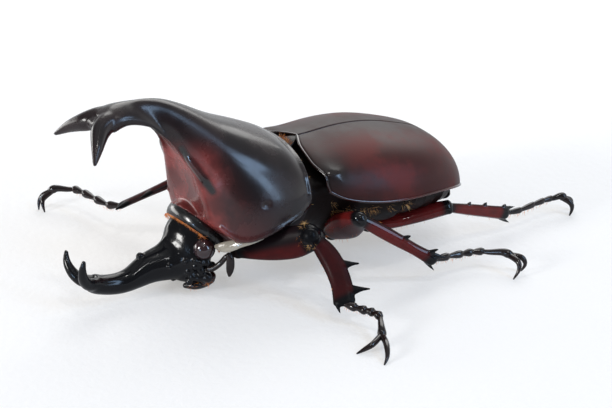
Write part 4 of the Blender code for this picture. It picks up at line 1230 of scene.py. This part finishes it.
class BEETLE_OT_collar(bpy.types.Operator):
    """Build the black collar between the shield and the head."""

    bl_idname = "beetle.collar"
    bl_label = "Collar"
    bl_options = {"REGISTER", "UNDO"}

    def execute(self, context):
        mesh = fused([neck_tube(COLLAR)], sizes()["grain"], passes=3)
        add_piece("collar", mesh, collar_shell(), warmth=even(0.0))
        return {"FINISHED"}


# Head


class BEETLE_OT_head(bpy.types.Operator):
    """Build the head with its forked horn."""

    bl_idname = "beetle.head"
    bl_label = "Head and horn"
    bl_options = {"REGISTER", "UNDO"}

    def execute(self, context):
        shapes = [shape.moved(rolled) for shape in head_shapes()]
        mesh = fused(shapes, sizes()["grain"] * 0.75, passes=8)
        add_piece("head_and_horn", mesh, head_shell(), ("head", "head_horn"), even(0.0))
        return {"FINISHED"}


def head_shapes():
    """The head, its horn with tooth and tines, its chin, the knobs of the cheeks and the eyes' rims."""
    shapes = [body(HEAD, sides=96, steps=14, passes=8), limb(HORN_TOOTH, HORN_TOOTH_SIZES, ACROSS),
              ball(CHIN, CHIN_SIZES, sides=24)]
    for side in SIDES.values():
        shapes.append(limb(mirrored(HEAD_TINE, side), HEAD_TINE_SIZES, ACROSS, sides=28, steps=10))
        shapes += [ball((side * x, y, z), size) for x, y, z, size in CHEEK_KNOBS]
        ring = eye_ring(side)
        shapes.append(limb(ring, [(0.2, 0.2)] * len(ring), ACROSS, sides=10, steps=1, passes=0, blunt=False))
    return shapes


def eye_ring(side, steps=24):
    """The middle line of the rim round an eye's socket."""
    out = unit(EYE_WAY)
    across = unit(np.cross(out, UP))
    up = np.cross(out, across)
    turn = 2 * np.pi * np.arange(steps + 1) / steps
    circle = np.outer(np.cos(turn), across) + np.outer(np.sin(turn), up)
    return (EYE_PLACE - out * 0.25 + EYE_RADIUS * 1.02 * circle) * (side, 1.0, 1.0)


class BEETLE_OT_eyes(bpy.types.Operator):
    """Build the two eyes."""

    bl_idname = "beetle.eyes"
    bl_label = "Eyes"
    bl_options = {"REGISTER", "UNDO"}

    def execute(self, context):
        for name, side in SIDES.items():
            shape = ball(EYE_PLACE * (side, 1.0, 1.0), EYE_SIZES, sides=32).moved(rolled)
            add_piece(f"eye_globe_{name}", mesh_of(shape), eye_gloss(), (f"eye_{name}",),
                      even(1.0))
        return {"FINISHED"}


class BEETLE_OT_mouth(bpy.types.Operator):
    """Build the jaws, mouth feelers and feelers."""

    bl_idname = "beetle.mouth"
    bl_label = "Jaws and feelers"
    bl_options = {"REGISTER", "UNDO"}

    def execute(self, context):
        for name, side in SIDES.items():
            jaw = limb(mirrored(JAW, side), JAW_SIZES, ACROSS, sides=28, steps=8).moved(rolled)
            add_piece(f"jaw_{name}", mesh_of(jaw), claw_shell(), (f"mandible_{name}",),
                      even(0.0))
            palp = limb(mirrored(MOUTH_FEELER, side), MOUTH_FEELER_SIZES, UP, steps=8).moved(rolled)
            add_piece(f"mouth_feeler_{name}", mesh_of(palp), feeler_shell(),
                      (f"palp_{name}",), even(1.0))
            feeler = joined(feeler_shapes(side)).moved(rolled)
            add_piece(f"feeler_{name}", mesh_of(feeler), feeler_shell(),
                      (f"antenna_{name}",), even(0.15))
        return {"FINISHED"}


def feeler_shapes(side):
    """A feeler's stem and its club of three leaves."""
    shapes = [limb(mirrored(FEELER_STEM, side), FEELER_STEM_SIZES, UP, steps=8)]
    wide = (side * 0.45, 0.9, 0.0)
    for aside in (-LEAF_SPACING, 0.0, LEAF_SPACING):
        path = [(x + aside * 0.9, y - aside * 0.5, z + abs(aside) * 0.3) for x, y, z in FEELER_LEAF]
        shapes.append(limb(mirrored(path, side), FEELER_LEAF_SIZES, wide, sides=24, steps=8))
    return shapes


# Wing cases


class BEETLE_OT_wing_cases(bpy.types.Operator):
    """Build the two wing cases and the small plate between their bases."""

    bl_idname = "beetle.wing_cases"
    bl_label = "Wing cases"
    bl_options = {"REGISTER", "UNDO"}

    def execute(self, context):
        for name, side in SIDES.items():
            grid = wing_grid(side)
            case = thickened(wing_surface(grid, side), sizes()["wing_wall"])
            bead = (sizes()["rim"],) * 2
            beads = [limb(edge, [bead] * len(edge), (0.0, 0.3, 1.0), sides=10, steps=1, passes=0)
                     for edge in (grid[:-1, -1], grid[0, :])]
            mesh = mesh_of(joined([case, *beads]))
            on_case = np.arange(len(mesh.vertices)) < len(case.points)
            add_piece(f"wing_case_{name}", mesh, wing_shell(), (f"elytron_{name}",),
                      wing_warmth_and_shade, lambda places: np.where(on_case, hump(from_shoulder(places), 0.9), 0.85))
        add_piece("scutellum_plate", mesh_of(scutellum_shape()), wing_shell(), ("scutellum",),
                  even(0.0))
        return {"FINISHED"}


def wing_grid(side, across=72, along=120):
    """Points of a wing case from front to back and from the suture to the side."""
    table = eased(curve_through(WING_CASES, 20), 30)
    base = eased(curve_through(WING_BASE, 8), 6)
    run = np.sin(np.pi / 2 * np.arange(along + 1) / along) ** 0.9
    grid = np.zeros((along + 1, across + 1, 3))
    for i in range(across + 1):
        share = i / across
        angle = math.pi / 2 * share
        front = np.interp(share, base[:, 0], base[:, 1])
        y = front + (WING_END - front) * run
        half, edge, top = (np.interp(y, table[:, 0], table[:, k]) for k in (1, 2, 3))
        out = HALF_SUTURE + (half - HALF_SUTURE) * powered(math.sin(angle), WING_ROUND)
        grid[:, i, 0] = side * out
        grid[:, i, 1] = y
        grid[:, i, 2] = edge + (top - edge) * powered(math.cos(angle), WING_ROUND)
    bump = hump(from_shoulder(grid.reshape(-1, 3)), SHOULDER_REACH).reshape(grid.shape[:2])
    grid[:, :, 2] += SHOULDER_UP * bump
    grid[:, :, 0] += side * (SHOULDER_OUT * bump)
    return grid


def from_shoulder(places):
    """Distance of places from the shoulder bump."""
    return from_line(both_sides(places), *SHOULDER)[0]


def wing_surface(grid, side):
    """The upper surface of a wing case, with its faces looking up."""
    rows, columns = grid.shape[:2]
    faces = []
    for j in range(rows - 1):
        for i in range(columns - 1):
            a = j * columns + i
            face = [a, a + 1, a + columns + 1, a + columns]
            faces.append(face if side > 0 else face[::-1])
    return Shape(grid.reshape(-1, 3), faces)


def wing_warmth_and_shade(places):
    """How reddish a wing case is: less red along the back, with painted shade darkening its base, its
    shoulder and its low front.
    """
    x, y, z = places.T
    # Painted shade: darker low at the front, at the base and round the shoulder
    lower = 1 - 0.75 * (1 - step(z, 11.5, 16.0)) * (1 - step(y, 0.0, 12.0))
    middle = 0.25 + 0.75 * step(y, -4.0, 7.0) * step(np.abs(x), 1.0, 7.0)
    return middle * lower * (1 - hump(from_shoulder(places), 2.8))


def scutellum_shape(sides=40):
    """The small three-cornered plate between the wing cases, level with them."""
    table = curve_through(WING_CASES, 20)
    thickness = 0.75
    rings = []
    for y, half in SCUTELLUM:
        top = float(np.interp(y, table[:, 0], table[:, 3])) - 0.05
        rings.append(section((y, top, y, top - thickness, half, 0.5, 2.6, 3.0, 0.0), sides))
    rows = np.array(rings).reshape(len(rings), -1)
    return loft(eased(curve_through(rows, 6), 2).reshape(-1, sides, 3))


# Under side


class BEETLE_OT_underside(bpy.types.Operator):
    """Build the hind thorax with the hips, the ringed belly and the tail plate."""

    bl_idname = "beetle.underside"
    bl_label = "Under side"
    bl_options = {"REGISTER", "UNDO"}

    def execute(self, context):
        rows = [HIND_THORAX_FRONT, *[trunk_row(*row) for row in HIND_THORAX]]
        shapes = [body(rows, sides=96, steps=12), *[hip_shape(leg) for _, leg in legs()]]
        trunk = fused(shapes, sizes()["grain"] * 1.3, passes=3)
        rows = [(y, top, y, low, half, 0.35, 2.2, 1.6, 0.0) for y, half, top, low in TAIL_PLATE]
        tail = body(rows, sides=64, steps=6, passes=2)
        for name, mesh, node in (("hind_thorax", trunk, "metathorax"),
                                 ("belly", mesh_of(loft(belly_rings())), "abdomen"),
                                 ("tail_plate", mesh_of(tail), "pygidium")):
            add_piece(name, mesh, belly_shell(), (node,), even(0.5))
        return {"FINISHED"}


def belly_rings():
    """Sections of the belly, which stands out where one of its rings ends and the next begins."""
    rings = []
    for number in range(BELLY_RINGS):
        for share, rise in BELLY_RING:
            y = BELLY_START + BELLY_LENGTH / BELLY_RINGS * (number + share)
            low = 5.15 - 0.4 * (y - 9.9) / 12.1
            room = 0.9 + (BELLY_RING_RISE - rise) / 2
            rings.append(section(trunk_row(y, low + BELLY_RING_RISE - rise, room, 1.9), 96))
    return rings


def trunk_row(y, low_z, room, under):
    """A section of the trunk, kept under the wing cases by the given room."""
    table = curve_through(WING_CASES, 20)
    behind = y + 1.3 * max(y / WING_END, 0.0) ** 2
    half, edge, top = (float(np.interp(behind, table[:, 0], table[:, k])) for k in (1, 2, 3))
    top -= room
    return (y, top, y, low_z, half - room, (edge - low_z) / (top - low_z), 2.2, under, 0.0)


# Legs as pieces


class BEETLE_OT_legs(bpy.types.Operator):
    """Build the thighs, shins and feet of the six legs."""

    bl_idname = "beetle.legs"
    bl_label = "Legs"
    bl_options = {"REGISTER", "UNDO"}

    def execute(self, context):
        for name, leg in legs():
            thigh = fused(thigh_shapes(leg), THIGH_GRAIN, passes=4)
            add_piece(f"thigh_{name}", thigh, leg_shell(), (f"femur_{name}",),
                      lambda places: thigh_warmth_and_shade(places, leg), lambda places: leg_polish(places, leg))
            shin = fused(shin_shapes(leg), SHIN_GRAIN, passes=3)
            add_piece(f"shin_{name}", shin, leg_shell(), (f"tibia_{name}",),
                      lambda places: shin_warmth(places, leg), lambda places: leg_polish(places, leg))
            add_piece(f"foot_{name}", mesh_of(joined(foot_shapes(leg))), claw_shell(),
                      (f"tarsus_{name}",), even(0.5))
        return {"FINISHED"}


def limb_warmth(places, start, end, low, high):
    """Red along the middle of a limb and black at its ends."""
    way = end - start
    share = (places - start) @ way / (way @ way)
    return step(share, low - 0.08, low + 0.05) * (1 - step(share, high - 0.06, high + 0.04))


def thigh_warmth_and_shade(places, leg):
    """Red along the middle of a thigh, with painted shade darkening it above or below."""
    hip, knee, shade = leg["hip"], leg["knee"], leg["shade"]
    way = unit(knee - hip)
    # Painted shade: darker on top where shade is positive, below where it is negative, and darker all over
    # where it is positive
    above = step((places - hip) @ unit(np.array(UP) - way * way[2]), -0.9, 0.4)
    dark = above * shade if shade > 0 else (above - 1) * shade
    return limb_warmth(places, hip, knee, 0.10, leg["black"]) * (1 - dark) * (1 - 0.65 * max(shade, 0.0))


def shin_warmth(places, leg):
    """Red along the middle of a shin, and black at its ends, teeth and spurs."""
    _, across = shin_frame(leg)
    knee, ankle = leg["knee"], leg["ankle"]
    share = (places - knee) @ (ankle - knee) / ((ankle - knee) @ (ankle - knee))
    aside = np.abs((places - shin_place(leg, share[:, None])) @ across)
    width = np.interp(share, LIMB_STOPS, [half for half, _ in leg["shin"]])
    return limb_warmth(places, knee, ankle, 0.12, 0.9) * (1 - step(aside - width, -0.25, 0.15)) * leg["glow"]


def leg_polish(places, leg):
    """How polished a thigh or a shin is: its own shine, and bright at the knee."""
    knee = 1 - step(np.linalg.norm(places - leg["knee"], axis=1), 1.3, 2.3)
    return leg["shine"] + (0.5 - leg["shine"]) * knee


# Hair


class BEETLE_OT_hair(bpy.types.Operator):
    """Grow the hair at the neck, between the shield and the wing cases, on the under side and the legs."""

    bl_idname = "beetle.hair"
    bl_label = "Hair"
    bl_options = {"REGISTER", "UNDO"}

    def execute(self, context):
        length = sizes()["hair_length"]
        orange = hair_material("orange_hair", colour("orange"))
        gold = hair_material("golden_hair", colour("gold"))
        front_hair(length, orange)
        back_hair(length, orange, gold)
        under_hair(length, orange, gold)
        for name, leg in legs():
            leg_hair(name, leg, length, orange, gold)
        return {"FINISHED"}


def front_hair(length, orange):
    """The fringe of the neck and the tufts of the mouth."""
    path = rolled(neck_ring(0.06, 0.02)[np.arange(-40, 41)])
    grow_hair("neck_fringe", ribbon(path, NECK_WAY, 0.16), orange, 150.0, length * 0.36,
              sweep=(0.0, -0.2, -0.3), disorder=0.2)
    for name, side in SIDES.items():
        tufts = [ball((side * x, y, z), size, sides=8) for x, y, z, size in MOUTH_TUFTS]
        grow_hair(f"mouth_tufts_{name}", joined(tufts).moved(rolled), orange, 22.0, length * 0.7,
                  sweep=(side * 0.6, -0.3, -0.4), disorder=0.4)


def back_hair(length, orange, gold):
    """The hair between the shield and the wing cases, and the tufts before the small plate."""
    path = hind_margin(2) * (0.965, 1.0, 0.985)
    grow_hair("shield_fringe", ribbon(path, (0.0, 1.0, 0.2), 0.6), gold, 4.0, length * 0.8,
              sweep=(0.0, 0.5, 0.2), disorder=0.9)
    path = [(x, -3.9, 19.05 - 0.05 * x * x) for x in np.linspace(-1.7, 1.7, 12)]
    grow_hair("plate_tufts", ribbon(path, (0.0, 0.3, 1.0), 0.7), orange, 26.0, length * 0.8,
              sweep=(0.0, 0.5, 0.5), disorder=0.6)


def under_hair(length, orange, gold):
    """The tufts along the belly's sides, the hair of the under side and the fringe of the tail."""
    for name, side in SIDES.items():
        tufts = [ball((side * x, y, z), (size * 0.6, size * 1.4, size * 0.6), sides=8)
                 for x, y, z, size in BELLY_TUFTS]
        grow_hair(f"belly_tufts_{name}", joined(tufts), gold, 16.0, length,
                  sweep=(side * 0.9, 0.2, -0.5), disorder=0.5)
    rows = [ribbon(under_side_line(y), (0.0, 0.1, -1.0), 0.5) for y in UNDER_SIDE_ROWS]
    grow_hair("under_side_hair", joined(rows), orange, 8.0, length * 0.9,
              sweep=(0.0, 0.9, 0.3), disorder=0.5)
    grow_hair("tail_fringe", ribbon(tail_line(), (0.0, 1.0, -0.3), 0.5), gold, 12.0, length * 0.9,
              sweep=(0.0, 0.2, -0.9), disorder=0.5)


def under_side_line(y):
    """A line across the under side, just inside its skin."""
    if y < -8.0:
        low = 5.3
    elif y < 10.0:
        low = 4.7
    else:
        low = 5.55 - 0.035 * (y - 10)
    x = np.linspace(-7.0, 7.0, 29) * (1.0 if y < 14 else (28 - y) / 14)
    return np.column_stack([x, np.full(x.size, y), low - 0.55 + 0.035 * x * x])


def tail_line():
    """The line of the wing cases' hind edge, just inside and below it."""
    y_back, half_back, edge_back, _ = np.array(WING_CASES[-3:]).T
    x = np.linspace(-4.4, 4.4, 30)
    y = np.interp(np.abs(x), half_back[::-1], y_back[::-1]) - 0.9
    return np.column_stack([x, y, np.interp(y, y_back, edge_back) - 1.1])


def leg_hair(name, leg, length, orange, gold):
    """The hair of a knee, the bristles of thigh and shin and the pads under the foot."""
    front = "front" in name
    knee = leg["knee"]
    patch = ball(knee - unit(knee - leg["hip"]) * 0.7, 1.35 if front else 0.7, sides=12)
    grow_hair(f"knee_hair_{name}", patch, orange, 6.0 if front else 3.0, length * 0.6, disorder=0.6)
    grow_hair(f"bristles_{name}", joined(bristle_lines(leg)), orange, 2.2, length * 0.45,
              sweep=(0.0, 0.0, -0.4), disorder=0.4)
    if front:
        side = name.split("_")[1]
        places = mirrored(KNEE_TUFTS, SIDES[side])
        tufts = [ball(knee + place, KNEE_TUFT_SIZE, sides=10) for place in places]
        grow_hair(f"knee_tufts_{side}", joined(tufts), gold, 30.0, length * 0.5, disorder=0.7)
    sole = curve_through([leg["ankle"], *leg["toes"][:4]], 4) - (0.0, 0.0, 0.45)
    grow_hair(f"foot_pads_{name}", ribbon(sole, (0.0, 0.0, -1.0), 0.6), orange, 9.0, length * 0.55,
              disorder=0.35)


def bristle_lines(leg):
    """Narrow strips along the lower edge of a thigh and the plain edge of a shin."""
    hip, knee = leg["hip"], leg["knee"]
    _, across = shin_frame(leg)
    low = np.array((0.0, 0.0, -1.0))
    way = unit(knee - hip)
    low = unit(low - way * (low @ way))
    thigh = [hip + (knee - hip) * share + low * half * 0.85
             for share, (half, _) in zip(LIMB_STOPS[:4], leg["thigh"])]
    shin = [shin_place(leg, share) - across * half * 0.9
            for share, (half, _) in zip(LIMB_STOPS[1:4], leg["shin"][1:])]
    return [ribbon(thigh, low, 0.5), ribbon(shin, -across, 0.5)]


# Studio


class BEETLE_OT_studio(bpy.types.Operator):
    """Set up the pale floor, the soft lights, the room and the camera."""

    bl_idname = "beetle.studio"
    bl_label = "Studio"
    bl_options = {"REGISTER", "UNDO"}

    def execute(self, context):
        add_floor()
        add_lights()
        add_room()
        add_camera()
        bpy.context.scene.view_settings.view_transform = "Standard"
        return {"FINISHED"}


def add_floor():
    """A wide pale floor under the beetle."""
    mesh = bpy.data.meshes.new("studio_floor")
    corners = [(x * FLOOR_REACH, y * FLOOR_REACH, 0.0) for x, y in ((-1, -1), (1, -1), (1, 1), (-1, 1))]
    mesh.from_pydata(corners, [], [(0, 1, 2, 3)])
    mesh.materials.append(pale_cloth())
    in_scene(mesh, "studio_floor")


def pale_cloth():
    """Pale cloth with a fine nap and a painted glow, paler far back as painted light, with painted shadow
    near the beetle and darker painted reflections.
    """
    material, g, shader = new_material("pale_cloth")
    place = g.add("ShaderNodeTexCoord").outputs["Object"]
    cloud = g.add("ShaderNodeTexNoise", {"Vector": place, "Scale": 60.0, "Detail": 4.0}).outputs["Fac"]
    tint = colour("floor")
    grey = (tint[0] * 0.95, tint[1] * 0.95, tint[2] * 0.96, 1.0)
    pale = (0.60, 0.60, 0.60, 1.0)
    # Painted light: the cloth is paler away from the camera and greyer close in front
    away = g.vector("DOT_PRODUCT", {0: place, 1: (-0.86, 0.51, 0.0)}).outputs["Value"]
    away = g.spread(away, 0.0, 0.12)
    g.tree.links.new(g.mix(away, g.mix(cloud, grey, tint), pale), shader.inputs["Base Color"])
    fibre = g.add("ShaderNodeTexNoise", {"Vector": place, "Scale": 900.0, "Detail": 3.0}).outputs["Fac"]
    bump = g.add("ShaderNodeBump", {"Height": fibre, "Distance": 0.0002, "Strength": 0.6})
    g.tree.links.new(bump.outputs["Normal"], shader.inputs["Normal"])
    shader.inputs["Roughness"].default_value = 0.9
    shader.inputs["Specular IOR Level"].default_value = 0.1
    shader.inputs["Emission Color"].default_value = (1.0, 0.982, 0.955, 1.0)
    # Painted shadow: the glow is dimmed close round the beetle
    near = g.vector("MULTIPLY", {0: place, 1: (62.0, 29.0, 0.0)}).outputs[0]
    near = g.vector("LENGTH", {0: near}).outputs["Value"]
    glow = g.spread(near, 0.2, 1.3, FLOOR_GLOW * GLOW_IN_PAINTED_SHADOW, FLOOR_GLOW)
    # Painted darker reflection: the glow is dimmed further in mirror images
    mirrored_ray = g.add("ShaderNodeLightPath").outputs["Is Glossy Ray"]
    glow = g.math("MULTIPLY", glow, g.spread(mirrored_ray, 0.0, 1.0, 1.0, GLOW_IN_PAINTED_REFLECTIONS))
    g.tree.links.new(glow, shader.inputs["Emission Strength"])
    return material


def add_lights():
    """The windows and lamps round the beetle, all turned to face it."""
    for name, (turn, height), distance, size, slant, glow, tint in STUDIO_LIGHTS:
        data = bpy.data.lights.new(name, "AREA")
        data.shape = "RECTANGLE"
        data.size, data.size_y = size
        data.energy = glow * math.pi * size[0] * size[1]
        data.color = tint
        light = bpy.data.objects.new(name, data)
        bpy.context.scene.collection.objects.link(light)
        light.location = direction(turn, height) * distance
        facing = (Vector(LIGHTS_AIM) - light.location).to_track_quat("-Z", "Y")
        light.rotation_euler = (facing @ Quaternion(UP, math.radians(slant))).to_euler()


def direction(turn, height):
    """A direction by its turn from straight ahead of the beetle to its left, and its height, in degrees."""
    turn, height = math.radians(turn), math.radians(height)
    return Vector((math.sin(turn) * math.cos(height), -math.cos(turn) * math.cos(height), math.sin(height)))


def add_room():
    """A room that is white behind the beetle and dim in front of it."""
    world = bpy.data.worlds.new("bright_room")
    bpy.context.scene.world = world
    world.use_nodes = True
    g = Graph(world.node_tree)
    way = g.add("ShaderNodeTexCoord").outputs["Generated"]
    behind = g.vector("DOT_PRODUCT", {0: way, 1: (-0.45, 0.89, 0.0)}).outputs["Value"]
    behind = g.spread(behind, -0.3, 0.5)
    level = g.add("ShaderNodeSeparateXYZ", {0: way}).outputs["Z"]
    above = g.math("MULTIPLY", g.spread(level, 0.4, 1.0), ROOM_ABOVE)
    behind = g.math("MULTIPLY", behind, g.spread(level, 0.1, 0.6, ROOM_GLOW, ROOM_GLOW * 0.4))
    strength = g.math("MAXIMUM", behind, g.math("MAXIMUM", above, ROOM_DIM))
    background = world.node_tree.nodes["Background"]
    background.inputs["Color"].default_value = (0.96, 0.98, 1.0, 1.0)
    g.tree.links.new(strength, background.inputs["Strength"])


def add_camera():
    """The camera at the photograph's angle."""
    data = bpy.data.cameras.new("photo_camera")
    data.lens = 100.0
    data.sensor_width = 36.0
    data.clip_start = 0.01
    data.clip_end = 20.0
    camera = bpy.data.objects.new("photo_camera", data)
    bpy.context.scene.collection.objects.link(camera)
    camera.location = Vector(CAMERA_PLACE) * MM
    aim = Vector(CAMERA_AIM) * MM
    camera.rotation_euler = (aim - camera.location).to_track_quat("-Z", "Y").to_euler()
    bpy.context.scene.camera = camera


# Panel


class BEETLE_PT_panel(bpy.types.Panel):
    """The beetle's sizes, colours and pieces."""

    bl_idname = "BEETLE_PT_panel"
    bl_label = "Rhinoceros Beetle"
    bl_space_type = "VIEW_3D"
    bl_region_type = "UI"
    bl_category = "Beetle"

    def draw(self, context):
        for group in (context.scene.beetle_sizes, context.scene.beetle_colours):
            box = self.layout.box()
            for name in group.__annotations__:
                box.prop(group, name)
        for operator in PIECES:
            self.layout.operator(operator.bl_idname)


PIECES = (
    BEETLE_OT_shield,
    BEETLE_OT_collar,
    BEETLE_OT_head,
    BEETLE_OT_eyes,
    BEETLE_OT_mouth,
    BEETLE_OT_wing_cases,
    BEETLE_OT_underside,
    BEETLE_OT_legs,
    BEETLE_OT_hair,
    BEETLE_OT_studio,
)
GROUPS = {"beetle_sizes": BeetleSizes, "beetle_colours": BeetleColours}


def register():
    """Add the classes and the scene's groups of values."""
    for found in (*GROUPS.values(), *PIECES, BEETLE_PT_panel):
        bpy.utils.register_class(found)
    for name, group in GROUPS.items():
        setattr(bpy.types.Scene, name, PointerProperty(type=group))


def unregister():
    """Take the classes and the groups of values away again."""
    for name in GROUPS:
        delattr(bpy.types.Scene, name)
    for found in (BEETLE_PT_panel, *reversed(PIECES), *reversed(GROUPS.values())):
        bpy.utils.unregister_class(found)


def main():
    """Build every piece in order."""
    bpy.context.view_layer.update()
    register()
    for operator in PIECES:
        area, name = operator.bl_idname.split(".")
        getattr(getattr(bpy.ops, area), name)()


if __name__ == "__main__":
    main()
